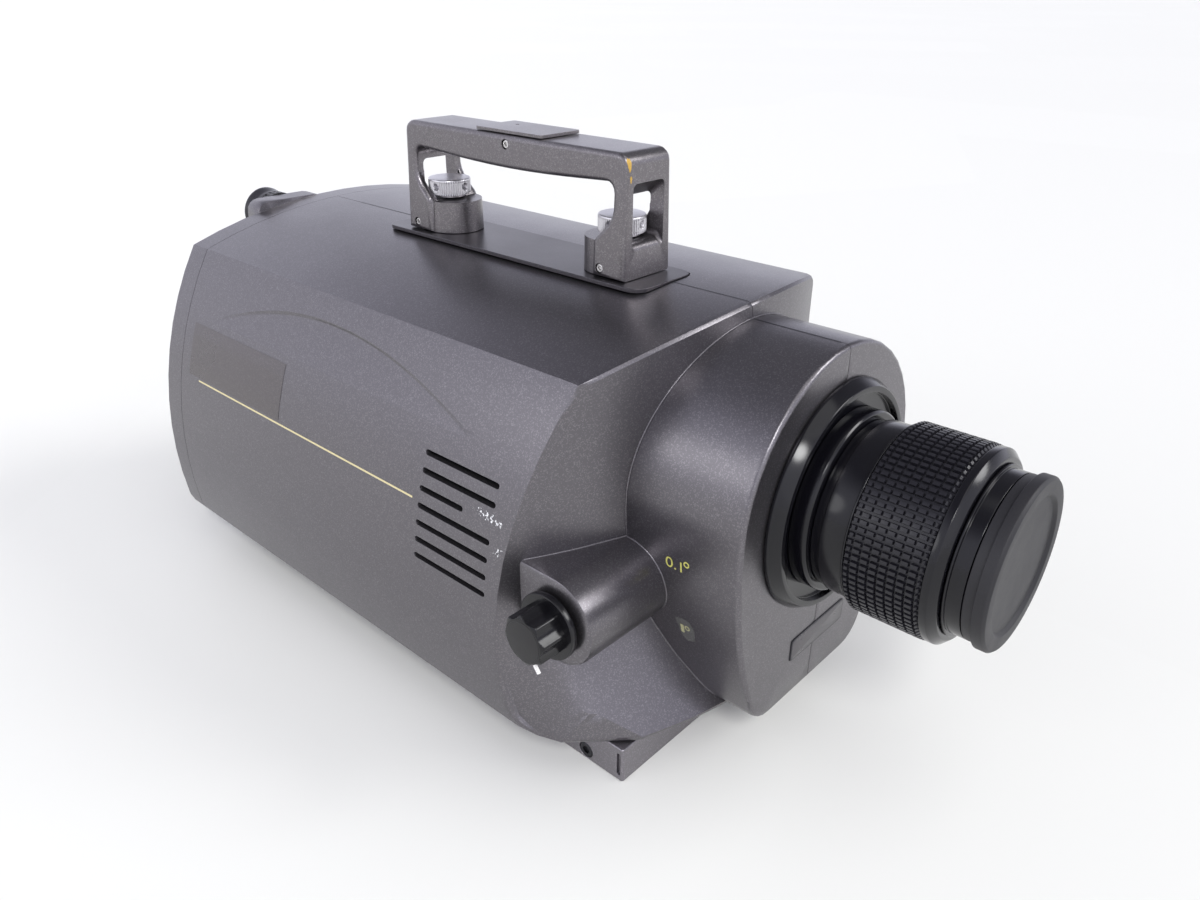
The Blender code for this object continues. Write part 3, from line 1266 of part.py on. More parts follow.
def selector_knob():
    """Skirt and fluted grip on the cross axis, with the bar that points."""
    turn = (0, -pi / 2, 0)
    start = KNOB_BACK
    skirt = rod("knob_skirt", SKIRT_RADIUS, SKIRT_LENGTH, (start, SHAFT_Y, SHAFT_Z), turn, sides=TURN_STEPS,
                far_radius=SKIRT_RADIUS - KNOB_EDGE)
    outline = []
    for i in range(KNOB_FLUTES):
        centre = 2 * pi * i / KNOB_FLUTES + POINTER_ANGLE
        land = pi / KNOB_FLUTES * KNOB_LAND_SHARE
        outline += arc((0, 0), KNOB_RADIUS, centre - land, centre + land, 1)
        for share in KNOB_FLUTE_SHARES:
            angle = centre + land + (2 * pi / KNOB_FLUTES - 2 * land) * share
            reach = KNOB_RADIUS - KNOB_FLUTE_DEPTH * sin(pi * share)
            outline.append((reach * cos(angle), reach * sin(angle)))
    foot, reach = SKIRT_LENGTH / 2, SKIRT_LENGTH + KNOB_LENGTH
    grip = sheet("knob_grip", [outline], reach - foot, (start - (reach + foot) / 2, SHAFT_Y, SHAFT_Z), turn)
    grip = solid_copy(grip, "selector_knob", "black_plastic")
    profile = [(0, reach), (KNOB_FACE_RADIUS, reach), (KNOB_RADIUS + GAP, reach - KNOB_CHAMFER),
               (KNOB_RADIUS + GAP, foot), (0, foot)]
    combine(grip, turned("knob_cone", profile, (start, SHAFT_Y, SHAFT_Z), turn, ring=False), "INTERSECT")
    combine(grip, skirt, "UNION")
    combine(grip,
            rod("knob_bore", SHAFT_RADIUS + GAP, SHAFT_IN_KNOB + OVERRUN + GAP,
                (start + OVERRUN, SHAFT_Y, SHAFT_Z), turn))
    combine(grip, pointer_form("knob_groove", GAP))
    pointer_form("knob_pointer", 0, "white")


def pointer_form(name, grow, finish=None):
    """A bar let into the knob's front that runs out over its edge, in the plane of the axis."""
    face = SKIRT_LENGTH + KNOB_LENGTH
    back, front = face - POINTER_DEPTH - grow, face + (OVERRUN if grow else 0)
    near, far = KNOB_FACE_RADIUS + GAP - grow, POINTER_REACH + (OVERRUN if grow else 0)
    outline = [(back, near), (front, near), (front, far), (back, far)]
    place = (KNOB_BACK, SHAFT_Y, SHAFT_Z)
    made = sheet(name, [outline], POINTER_WIDTH + 2 * grow, place, (POINTER_ANGLE, 0, pi), finish)
    return made if finish else solid_copy(made, name)


def involute_points(base, outer, root, half_angle):
    """One tooth of the pinion, from its left root round its tip to its right root."""
    flank = []
    reach = sqrt((outer / base) ** 2 - 1)
    for i in range(FLANK_STEPS + 1):
        roll = reach * i / FLANK_STEPS
        radius = base * sqrt(1 + roll * roll)
        flank.append((radius, half_angle - (roll - atan2(roll, 1))))
    left = [(root, half_angle)] + flank
    return left + [(radius, -angle) for radius, angle in reversed(left)]


def pinion_outline():
    pitch = PITCH_RADIUS
    base = pitch * cos(PRESSURE_ANGLE)
    inv = tan(PRESSURE_ANGLE) - PRESSURE_ANGLE
    half = pi / (2 * PINION_TEETH) + inv - BACKLASH / (2 * pitch)
    outer = pitch + TOOTH_MODULE
    root = pitch - TOOTH_MODULE - 2 * BACKLASH
    points = []
    for i in range(PINION_TEETH):
        centre = 2 * pi * i / PINION_TEETH
        for radius, angle in involute_points(base, outer, root, half):
            points.append((radius * cos(centre - angle), radius * sin(centre - angle)))
    return points


def selector_shaft():
    """The shaft from the knob to the pinion, in one piece with the pinion."""
    start = KNOB_BACK - SHAFT_IN_KNOB
    end = PINION_HALF_WIDTH + SHAFT_INSIDE
    gear = sheet("pinion_form", [pinion_outline()], 2 * PINION_HALF_WIDTH, (0, SHAFT_Y, SHAFT_Z), ALONG_X)
    gear = solid_copy(gear, "selector_shaft", "brass")
    shaft = rod("shaft_form", SHAFT_RADIUS, end - start, (start, SHAFT_Y, SHAFT_Z), (0, pi / 2, 0),
                sides=ROUND_SIDES)
    combine(gear, shaft, "UNION")
    inner = BUSH_LENGTH
    turned("shaft_bush",
           [(BUSH_RADIUS + BUSH_FLANGE, 0), (BUSH_RADIUS + BUSH_FLANGE, -BUSH_FLANGE),
            (BUSH_RADIUS, -BUSH_FLANGE),
                          (BUSH_RADIUS, -inner), (SHAFT_RADIUS + GAP, -inner), (SHAFT_RADIUS + GAP, 0)],
           (-POD_FACE - GAP - BUSH_FLANGE, SHAFT_Y, SHAFT_Z), (0, -pi / 2, 0), "brass", steps=ROUND_SIDES)


def aperture_slide():
    """An upright plate with the field apertures in a column and a rack on its front face."""
    low = LENS_HEIGHT - SLIDE_BELOW
    high = LENS_HEIGHT + SLIDE_ABOVE
    holes = []
    count = len(APERTURE_RADII)
    for i, radius in enumerate(APERTURE_RADII):
        holes.append(circle(radius, SMALL_SIDES, (0, LENS_HEIGHT + SLIDE_TRAVEL * i / (count - 1))))
    outline = [(-SLIDE_HALF, low), (SLIDE_HALF, low), (SLIDE_HALF, high), (-SLIDE_HALF, high)]
    plate = sheet("slide_form", [outline] + holes, SLIDE_THICKNESS,
                  (0, SLIDE_FRONT + SLIDE_THICKNESS / 2, 0), ALONG_Y)
    plate = solid_copy(plate, "aperture_slide", "brass")
    pitch = pi * TOOTH_MODULE
    half_tooth = pitch / 4 - BACKLASH / 2
    slope = tan(PRESSURE_ANGLE)
    tip, root = RACK_Y - TOOTH_MODULE, SLIDE_FRONT + SLIDE_THICKNESS / 2
    points = []
    middle = SHAFT_Z + pitch / 2
    for i in range(RACK_TEETH):
        z = middle + pitch * (i - RACK_TEETH_BELOW)
        reach_root = half_tooth + (SLIDE_FRONT - RACK_Y) * slope
        reach_tip = half_tooth - (RACK_Y - tip) * slope
        points += [(SLIDE_FRONT, z - reach_root), (tip, z - reach_tip), (tip, z + reach_tip),
                   (SLIDE_FRONT, z + reach_root)]
    points += [(root, points[-1][1]), (root, points[0][1])]
    rack = sheet_tool("rack_form", [points], 2 * PINION_HALF_WIDTH, (0, 0, 0), ALONG_X)
    combine(plate, rack, "UNION")


def guide_rails():
    """Two channels that hold the slide's edges, joined by a foot on the bench and a bar on top."""
    low_y = SLIDE_FRONT - GUIDE_LIP - GAP
    high_y = SLIDE_FRONT + SLIDE_THICKNESS + GUIDE_LIP + GAP
    inner = SLIDE_HALF - GUIDE_LIP
    outer = SLIDE_HALF + GAP + GUIDE_WALL
    base = BENCH_TOP_Z + GAP
    top = LENS_HEIGHT + SLIDE_ABOVE + GUIDE_ABOVE / 4
    groove = SLIDE_HALF + GAP
    channel = [(inner, low_y), (outer, low_y), (outer, high_y), (inner, high_y), (inner, high_y - GUIDE_LIP),
               (groove, high_y - GUIDE_LIP), (groove, low_y + GUIDE_LIP), (inner, low_y + GUIDE_LIP)]
    for side, way in (("left", -1), ("right", 1)):
        outline = [(way * x, y) for x, y in channel]
        sheet(f"guide_rail_{side}", [outline], top - base, (0, 0, (base + top) / 2), ALONG_Z, "casting")


# Bench and optics

def optical_bench():
    outline = rounded(-BENCH_LEFT, BENCH_RIGHT, -BENCH_FRONT, BENCH_REAR, BENCH_INSET)
    lightening = rounded(-BENCH_LEFT / 3, BENCH_RIGHT / 2, BENCH_REAR / 3, BENCH_REAR * LIGHTENING_SHARE,
                         BENCH_INSET / 2)
    form = sheet("bench_form", [outline, lightening], BENCH_THICKNESS,
                 (0, 0, BENCH_Z + BENCH_THICKNESS / 2))
    bench = solid_copy(form, "optical_bench", "casting")
    for i, x in enumerate((-BENCH_LEFT + BENCH_INSET, BENCH_RIGHT - BENCH_INSET)):
        for j, y in enumerate((-BENCH_FRONT + BENCH_INSET, BENCH_REAR - BENCH_INSET)):
            foot = rod(f"bench_foot_{i}{j}", BENCH_FOOT_RADIUS, BENCH_FEET + BENCH_THICKNESS / 2,
                       (x, y, BENCH_Z - BENCH_FEET),
                       sides=SMALL_SIDES)
            combine(bench, foot, "UNION")


def bracket(name, x, y, turn, width=BRACKET_WIDTH, height=None):
    """An L of thick sheet on the bench, its upright face at the place, square to its turn."""
    rise = (height or LENS_HEIGHT + OPTIC_RADIUS) - BENCH_TOP_Z - GAP
    sheet_t = BRACKET_SHEET
    outline = [(0, 0), (BRACKET_FOOT, 0), (BRACKET_FOOT, sheet_t), (sheet_t, sheet_t), (sheet_t, rise),
               (0, rise)]
    place = (x, y, BENCH_TOP_Z + GAP)
    sheet(name, [outline], width, place, (pi / 2, 0, pi / 2 + turn), "casting")


def on_bracket(x, y, turn, ahead):
    """A place ahead of a bracket's upright face."""
    return (x + ahead * sin(turn), y - ahead * cos(turn), LENS_HEIGHT)


def optics():
    ahead = GAP
    bracket("slit_bracket", 0, SLIT_BACK, 0, SLIT_PLATE_SIZE, LENS_HEIGHT - SLIT_HEIGHT)
    size = SLIT_PLATE_SIZE / 2
    slit = [(-SLIT_WIDTH / 2, -SLIT_HEIGHT / 2), (SLIT_WIDTH / 2, -SLIT_HEIGHT / 2),
            (SLIT_WIDTH / 2, SLIT_HEIGHT / 2),
            (-SLIT_WIDTH / 2, SLIT_HEIGHT / 2)]
    plate = [(-size, -2 * size), (size, -2 * size), (size, size), (-size, size)]
    sheet("slit_plate", [plate, slit], SLIT_PLATE_THICKNESS,
          (0, SLIT_BACK - GAP - SLIT_PLATE_THICKNESS / 2, LENS_HEIGHT), ALONG_Y,
          "black_metal")
    for name, x, y, turn, finish in (("collimator", 0, MIRROR_BACK, 0, "mirror"),
                                     ("focusing", -FOCUSING_LEFT, MIRROR_BACK, 0, "mirror")):
        bracket(f"{name}_bracket", x, y, turn)
        rod(f"{name}_mirror", OPTIC_RADIUS, OPTIC_THICKNESS, on_bracket(x, y, turn, ahead),
            (pi / 2, 0, turn), finish)
    turn = GRATING_TURN + pi
    x, y = -GRATING_LEFT, GRATING_BACK
    bracket("grating_bracket", x, y, turn)
    size = OPTIC_RADIUS * GRATING_SHARE
    place = on_bracket(x, y, turn, ahead + OPTIC_THICKNESS / 2)
    sheet("grating", [rectangle(2 * size, 2 * size)], OPTIC_THICKNESS, place, (pi / 2, 0, turn), "grating")
    turn = DETECTOR_TURN + pi
    x, y = -DETECTOR_LEFT, DETECTOR_BACK
    bracket("detector_bracket", x, y, turn, DETECTOR_SIZE, LENS_HEIGHT)
    place = on_bracket(x, y, turn, ahead + BOARD_THICKNESS / 2)
    card = sheet("detector_card", [rectangle(DETECTOR_SIZE, DETECTOR_SIZE)], BOARD_THICKNESS, place,
                 (pi / 2, 0, turn))
    card = solid_copy(card, "detector_board", "board")
    place = on_bracket(x, y, turn, ahead + BOARD_THICKNESS + CHIP_THICKNESS / 2 - GAP)
    chip = sheet("detector_chip", [rectangle(CHIP_LENGTH, CHIP_WIDTH)], CHIP_THICKNESS + GAP, place,
                 (pi / 2, 0, turn))
    combine(card, solid_copy(chip, "detector_chip"), "UNION")


def main_board():
    """A card that stands off the right wall, with its larger components."""
    wall_x = BODY_RIGHT - WALL - GAP
    face = wall_x - BOARD_STANDOFF
    middle_z = LENS_HEIGHT - BOARD_DROP
    at = (face - BOARD_THICKNESS / 2, BOARD_BACK, middle_z)
    card = sheet("board_form", [rectangle(BOARD_LENGTH, BOARD_HEIGHT)], BOARD_THICKNESS, at, ALONG_X)
    card = solid_copy(card, "main_board", "board")
    u, v = BOARD_LENGTH / 2 - BOARD_HOLE_INSET, BOARD_HEIGHT / 2 - BOARD_HOLE_INSET
    for i, (dy, dz) in enumerate(((-u, -v), (u, -v), (u, v), (-u, v))):
        post = rod(f"board_post_{i + 1}", BOARD_STANDOFF_RADIUS, BOARD_STANDOFF + BOARD_THICKNESS / 2,
                   (face - BOARD_THICKNESS / 2, BOARD_BACK + dy, middle_z + dz), (0, pi / 2, 0),
                   sides=SMALL_SIDES)
        combine(card, post, "UNION")
    for i, (along, up, length) in enumerate(BOARD_CHIP_SHARES):
        y, z = BOARD_BACK + BOARD_LENGTH * along, middle_z + BOARD_HEIGHT * up
        half = CHIP_LENGTH * length / 2
        chip = block(f"board_chip_{i + 1}",
                     (face - BOARD_THICKNESS - CHIP_THICKNESS, y - half, z - CHIP_WIDTH),
                     (face - BOARD_THICKNESS / 2, y + half, z + CHIP_WIDTH))
        combine(card, chip, "UNION")


shells()
rear_cover()
cover_screws()
switch()
rear_connectors()
viewfinder()
base_block()
feet()
seat_plate()
handle()
grub_screws()
top_plate()
thumbscrews()
fixed_lens_parts()
focusing_parts()
lens_cap()
selector_knob()
selector_shaft()
aperture_slide()
guide_rails()
optical_bench()
optics()
main_board()
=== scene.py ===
# %% [markdown]
# # Dressing a portable spectroradiometer
# The real instrument is a cast housing in two halves, painted in a dark metallic paint, with a black focusing
# lens in front, a black selector knob on its side and a carrying handle on top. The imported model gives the
# solids, and this lesson gives each surface its look. The frame is loaded first, because every piece is
# placed on it.

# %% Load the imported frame
import bmesh
import bpy
import json
import numpy as np
from math import cos, pi, radians, sin
from mathutils import Matrix, Vector


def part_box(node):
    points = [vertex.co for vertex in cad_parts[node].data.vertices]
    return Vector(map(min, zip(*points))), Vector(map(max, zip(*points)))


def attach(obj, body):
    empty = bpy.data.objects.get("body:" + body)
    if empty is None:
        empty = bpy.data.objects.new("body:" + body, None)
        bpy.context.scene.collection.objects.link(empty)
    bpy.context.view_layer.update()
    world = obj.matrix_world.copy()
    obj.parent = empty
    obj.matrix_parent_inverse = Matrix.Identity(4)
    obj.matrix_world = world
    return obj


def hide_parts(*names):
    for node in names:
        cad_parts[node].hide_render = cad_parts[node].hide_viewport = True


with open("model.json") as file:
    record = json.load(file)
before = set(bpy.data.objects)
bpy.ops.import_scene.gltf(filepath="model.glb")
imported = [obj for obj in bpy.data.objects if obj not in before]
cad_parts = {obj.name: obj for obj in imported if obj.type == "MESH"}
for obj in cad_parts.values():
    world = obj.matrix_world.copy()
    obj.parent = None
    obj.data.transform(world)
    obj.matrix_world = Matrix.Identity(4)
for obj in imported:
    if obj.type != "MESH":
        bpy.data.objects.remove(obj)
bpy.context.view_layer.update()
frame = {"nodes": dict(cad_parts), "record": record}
nodes = frame["nodes"]
scene = bpy.context.scene

# %% [markdown]
# ## The view
# The photograph looks down on the front left corner of the instrument. Its camera was worked out from the
# lens's coaxial rings and the straight edges of the body, so a camera can be placed by three angles, and not
# by eye. The picture is pale all round, so a wide pale floor and a pale surrounding are enough of a studio.

# %% Camera
camera_data = bpy.data.cameras.new("camera")
camera_data.sensor_width = 36
camera_data.lens = 28.2924
camera = bpy.data.objects.new("camera", camera_data)
scene.collection.objects.link(camera)
azimuth, elevation, roll = radians(-47.917), radians(26.728), radians(0.485)
forward = Vector((-sin(azimuth) * cos(elevation), cos(azimuth) * cos(elevation), -sin(elevation)))
right = forward.cross(Vector((0, 0, 1))).normalized()
up = right.cross(forward)
camera.matrix_world = (Matrix.Translation((-0.27479, -0.21521, 0.26677))
                       @ (Matrix((right, up, -forward)).transposed() @ Matrix.Rotation(roll, 3, "Z")).to_4x4())
scene.camera = camera
scene.view_settings.view_transform = "Standard"
print("camera at", tuple(round(v, 3) for v in camera.matrix_world.translation))

# %% [markdown]
# ## Node helpers
# A material is a small network. Writing one takes the same few steps each time, so a few helpers do them: one
# makes a node with its values, one joins sockets, one makes an empty group with named sockets, and one makes
# a material with its shader. Values that stay the same all over a surface are written straight on the shader.

# %% Small helpers for materials
def node(tree, kind, **values):
    """Make a node of this kind and set its properties, or its inputs by their names."""
    made = tree.nodes.new(kind)
    for key, value in values.items():
        if hasattr(made, key):
            setattr(made, key, value)
        else:
            made.inputs[key.replace("_", " ").title()].default_value = value
    return made


def wire(tree, *links):
    """Join sockets: each link is a node and its output, then a node and its input."""
    for giver, output, taker, entry in links:
        tree.links.new(giver.outputs[output], taker.inputs[entry])


def group_tree(name, inputs, outputs):
    """An empty node group with float or colour sockets by name."""
    tree = bpy.data.node_groups.new(name, "ShaderNodeTree")
    for label, value in inputs.items():
        kind = "NodeSocketColor" if isinstance(value, tuple) else "NodeSocketFloat"
        tree.interface.new_socket(label, in_out="INPUT", socket_type=kind).default_value = value
    for label, kind in outputs.items():
        tree.interface.new_socket(label, in_out="OUTPUT", socket_type=kind)
    return tree, tree.nodes.new("NodeGroupInput"), tree.nodes.new("NodeGroupOutput")


def place_group(tree, group, **values):
    """Put a shared group in a material with this material's own values."""
    return node(tree, "ShaderNodeGroup", node_tree=group, **values)


def shader(name, **values):
    """A material with one Principled shader, and plain values set on its own sockets."""
    material = bpy.data.materials.new(name)
    material.use_nodes = True
    principled = material.node_tree.nodes["Principled BSDF"]
    sockets = {socket.name.lower(): socket for socket in principled.inputs}
    for key, value in values.items():
        sockets[key.replace("_", " ")].default_value = value
    return material, material.node_tree, principled


def bump_into(tree, principled, made, distance):
    """Feed a group's height through a Bump node into the shader's normal."""
    bump = node(tree, "ShaderNodeBump", strength=1, distance=distance)
    wire(tree, (made, "Height", bump, "Height"), (bump, "Normal", principled, "Normal"))


# %% [markdown]
# ## Grain and smudge
# Two effects come back on every finish. Grain is the fine unevenness of a sprayed or moulded surface. Smudge
# is the slow change of gloss that handling leaves. Each is a group, so a finish only states how coarse and
# how strong it is. Both read object coordinates, in metres, so a scale of 2000 gives marks of about half a
# millimetre.

# %% Grain and smudge groups
grain, source, result = group_tree(
    "fine grain", {"Scale": 2000.0, "Roughness": 0.6}, {"Height": "NodeSocketFloat"})
place = node(grain, "ShaderNodeTexCoord")
noise = node(grain, "ShaderNodeTexNoise", detail=3.0)
wire(grain, (place, "Object", noise, "Vector"), (source, "Scale", noise, "Scale"),
     (source, "Roughness", noise, "Roughness"), (noise, "Fac", result, "Height"))

smudge, source, result = group_tree(
    "handling smudge", {"Scale": 30.0, "Low": 0.3, "High": 0.5}, {"Value": "NodeSocketFloat"})
place = node(smudge, "ShaderNodeTexCoord")
noise = node(smudge, "ShaderNodeTexNoise", detail=4.0, roughness=0.65)
spread = node(smudge, "ShaderNodeMapRange", from_min=0.3, from_max=0.7)
wire(smudge, (place, "Object", noise, "Vector"), (source, "Scale", noise, "Scale"),
     (noise, "Fac", spread, "Value"), (source, "Low", spread, "To Min"), (source, "High", spread, "To Max"),
     (spread, "Result", result, "Value"))
print("groups:", [g.name for g in bpy.data.node_groups])

# %% [markdown]
# ## Speckle
# Speckle is the dust of metal flakes in a paint. A flake is a cell of a Voronoi pattern, and the cells whose
# random number is high take the flake's colour. With a small scale the same group makes the broad patches of
# tone in the glass and on the floor. A picture could hold the same dots, but it would show seams on a form
# this round.

# %% Speckle group
speckle, source, result = group_tree(
    "metal speckle", {"Scale": 4000.0, "Share": 0.2, "Paint": (0.1, 0.1, 0.1, 1), "Flake": (0.4, 0.4, 0.4, 1)},
    {"Color": "NodeSocketColor", "Mask": "NodeSocketFloat"})
place = node(speckle, "ShaderNodeTexCoord")
cells = node(speckle, "ShaderNodeTexVoronoi")
split = node(speckle, "ShaderNodeSeparateColor")
keep = node(speckle, "ShaderNodeMapRange")
mix = node(speckle, "ShaderNodeMix", data_type="RGBA")
low_edge = node(speckle, "ShaderNodeMath", operation="SUBTRACT")
low_edge.inputs[0].default_value = 1
wire(speckle, (place, "Object", cells, "Vector"), (source, "Scale", cells, "Scale"),
     (cells, "Color", split, "Color"), (source, "Share", low_edge, 1), (split, "Red", keep, "Value"),
     (low_edge, 0, keep, "From Min"), (keep, "Result", mix, "Factor"), (source, "Paint", mix, "A"),
     (source, "Flake", mix, "B"), (mix, "Result", result, "Color"), (keep, "Result", result, "Mask"))
print("speckle nodes:", len(speckle.nodes))

# %% [markdown]
# ## Turning lines
# A ring that comes off a lathe keeps the marks of the tool: lines that run round the axis and never along it.
# Noise does that if it's read by two numbers only, the distance from the axis and the place along it, so that
# all points of one circle get the same height.

# %% Turning lines group
turning, source, result = group_tree(
    "turning lines", {"Scale": 5000.0, "Axis Height": 0.1015}, {"Height": "NodeSocketFloat"})
place = node(turning, "ShaderNodeTexCoord")
split = node(turning, "ShaderNodeSeparateXYZ")
lower = node(turning, "ShaderNodeMath", operation="SUBTRACT")
across = node(turning, "ShaderNodeCombineXYZ")
reach = node(turning, "ShaderNodeVectorMath", operation="LENGTH")
pair = node(turning, "ShaderNodeCombineXYZ")
noise = node(turning, "ShaderNodeTexNoise", detail=2.0)
wire(turning, (place, "Object", split, 0), (split, "Z", lower, 0), (source, "Axis Height", lower, 1),
     (split, "X", across, "X"), (lower, 0, across, "Y"), (across, 0, reach, 0), (reach, "Value", pair, "X"),
     (split, "Y", pair, "Y"), (pair, 0, noise, "Vector"), (source, "Scale", noise, "Scale"),
     (noise, "Fac", result, "Height"))
print("turning nodes:", len(turning.nodes))

# %% [markdown]
# ## One recipe for all finishes
# No real surface is one colour with one gloss. Every finish here has two close tones in small cells, a gloss
# that drifts between two values, and a fine bump. What makes paint, plastic or metal of it are the scales and
# the plain values on the shader, so one recipe serves them all.

# %% The recipe
def make_finish(name, tones, cells, share, gloss, drift, fine, bump, **plain):
    """Two tones in cells, a gloss that drifts between two values, and the height of a fine group as a bump."""
    material, tree, principled = shader(name, **plain)
    tone = place_group(tree, speckle, scale=cells, share=share, paint=(*tones[0], 1), flake=(*tones[1], 1))
    sheen = place_group(tree, smudge, scale=drift, low=gloss[0], high=gloss[1])
    wire(tree, (tone, "Color", principled, "Base Color"), (sheen, "Value", principled, "Roughness"))
    group, values = fine
    bump_into(tree, principled, place_group(tree, group, **values), bump)
    return material


# %% [markdown]
# ## The housing's metallic paint
# The housing is sprayed in a dark grey paint full of fine metal flakes, over a fine orange peel. Seen close
# up it glitters, and from afar it is a soft satin that mirrors the room as a blur. So most of its colour is
# in the reflection: the shader is largely metallic, with flakes a third of a millimetre wide that differ
# little in tone, and a noise of twice their size makes the peel that they lie in.

# %% Metallic paints
def metallic_paint(name, paint, flake, gloss=(0.29, 0.34), peel=1500, bump=0.00001):
    """Metal flakes in a paint, under a thin clear coat."""
    return make_finish(name, (paint, flake), 2900, 0.3, gloss, 24, (grain, {"scale": peel}), bump,
                       metallic=0.9, coat_weight=0.1, coat_roughness=0.3)


housing_paint = metallic_paint("housing paint", (0.138, 0.131, 0.141), (0.212, 0.201, 0.214), bump=0.00002)
# The base block's paint is a lighter copy of the housing's paint: painted light, which brightens the base where
# the housing's overhang shades it.
painted_light_base_paint = metallic_paint("base paint lightened as painted light", (0.215, 0.203, 0.220), (0.30, 0.285, 0.31), bump=0.00002)
handle_paint = metallic_paint("handle paint", (0.155, 0.145, 0.152), (0.25, 0.235, 0.243), (0.27, 0.33), 1200,
                              0.00004)
plate_paint = metallic_paint("satin plate paint", (0.075, 0.07, 0.078), (0.1, 0.095, 0.1), (0.3, 0.36))
side_film = metallic_paint("clear film", (0.122, 0.112, 0.114), (0.165, 0.152, 0.155), (0.26, 0.32))
pale_film = metallic_paint("pale worn film", (0.20, 0.20, 0.195), (0.26, 0.26, 0.25), (0.4, 0.5))
print("paints made")

# %% [markdown]
# ## Black parts and prints
# The lens rings are turned metal, anodised black, and they show a long bright streak with a hint of the
# turning lines. The knob and the cap are moulded plastic with a soft sheen, and the grip and eyecup are
# rubber, which has almost none. Prints and enamel are thin and plain too. They differ in gloss and grain more
# than in anything else, so a short function holds what they share.

# %% Black finishes and prints
def smooth_finish(name, colour, gloss, fine_scale, bump, turned=False, **plain):
    """One tone with a faint lighter cloud, over grain or turning lines."""
    lighter = tuple(1.4 * c for c in colour)
    fine = (turning if turned else grain, {"scale": fine_scale})
    return make_finish(name, (colour, lighter), 6000, 0.3, gloss, 60, fine, bump,
                       specular_ior_level=0.35, coat_roughness=0.2, **plain)


anodised = smooth_finish("black anodised metal", (0.004, 0.0038, 0.0055), (0.15, 0.19), 5000, 0.000002,
                         turned=True)
grip_rubber = smooth_finish("grip rubber", (0.012, 0.0115, 0.015), (0.26, 0.34), 4000, 0.00001)
black_plastic = smooth_finish("black moulded plastic", (0.005, 0.0048, 0.006), (0.18, 0.24), 3000, 0.000004)
cap_plastic = smooth_finish("cap plastic", (0.016, 0.0155, 0.018), (0.46, 0.54), 2600, 0.000012)
disc_grey = smooth_finish("knob end disc", (0.014, 0.0135, 0.014), (0.4, 0.5), 3000, 0.00001)
# This black serves the inset plate's own border, and also the dark strips of painted shade over the seam.
black_edge_and_seam_shade = smooth_finish("inset edge and painted seam shade", (0.008, 0.008, 0.012), (0.3, 0.4), 3000, 0.000005)
inset_grey = smooth_finish("inset face", (0.10, 0.095, 0.10), (0.25, 0.35), 3000, 0.000005, metallic=0.5)
board_green = smooth_finish("circuit board lacquer", (0.012, 0.075, 0.03), (0.25, 0.35), 1500, 0.00001,
                            coat_weight=0.4)
white_print = smooth_finish("white enamel", (0.72, 0.71, 0.69), (0.35, 0.5), 3000, 0.000005)
gold_print = smooth_finish("pale gold print", (0.60, 0.53, 0.30), (0.35, 0.45), 3000, 0.000005)
yellow_print = smooth_finish("yellow print", (0.50, 0.48, 0.13), (0.4, 0.5), 3000, 0.000005)
faded_print = smooth_finish("faded print", (0.36, 0.35, 0.20), (0.4, 0.5), 3000, 0.000005)
ochre_dab = smooth_finish("ochre paint dab", (0.46, 0.29, 0.06), (0.4, 0.5), 2000, 0.00002)
print("smooth finishes made")

# %% [markdown]
# ## Bright metals and glass
# Thumbscrews are bright turned metal, screws are plain steel, and the selector's slide is brass. Inside stand
# grey castings, mirrors and a grating. Bare metal has a lighter cloud in its tone, and its gloss smudges at
# the scale of a fingertip. The lens glass carries a coating that tints it a little, from violet to blue.

# %% Metals and glass
def bright_metal(name, colour, gloss, metallic=1.0, bump=0.00001):
    """A metal whose tone and gloss drift, with a fine grain."""
    lighter = tuple(min(1, 1.15 * c) for c in colour)
    fine = (grain, {"scale": 3000, "roughness": 0.5})
    return make_finish(name, (colour, lighter), 5000, 0.35, gloss, 90, fine, bump, metallic=metallic)


silver = bright_metal("bright turned metal", (0.60, 0.59, 0.61), (0.3, 0.38), metallic=0.85, bump=0.000001)
steel = bright_metal("plain steel", (0.62, 0.61, 0.60), (0.2, 0.35))
dark_steel = bright_metal("blackened steel", (0.05, 0.05, 0.055), (0.3, 0.45))
brass = bright_metal("machined brass", (0.62, 0.45, 0.19), (0.25, 0.4))
casting = bright_metal("bead blasted casting", (0.32, 0.32, 0.33), (0.45, 0.6), metallic=0.8, bump=0.00003)
mirror = bright_metal("front surface mirror", (0.86, 0.87, 0.88), (0.03, 0.06), bump=0.000001)
ruled = bright_metal("ruled grating", (0.55, 0.66, 0.72), (0.12, 0.2), bump=0.000005)
bright_fleck_metal = bright_metal("bright fleck metal", (0.80, 0.80, 0.82), (0.25, 0.4), metallic=0.6)

glass, tree, principled = shader("coated lens glass", metallic=0.0, transmission_weight=0.9, ior=1.5)
tint = place_group(tree, speckle, scale=40, share=0.5, paint=(0.75, 0.78, 0.9, 1), flake=(0.8, 0.76, 0.88, 1))
clean = place_group(tree, smudge, scale=50, low=0.02, high=0.05)
wire(tree, (tint, "Color", principled, "Base Color"), (clean, "Value", principled, "Roughness"))
print("materials:", len(bpy.data.materials))

# %% [markdown]
# ## Which finish goes where
# The solids keep their shapes, so most of them only need their finish. A table from finish to nodes is the
# plainest way: it reads like a painter's list.

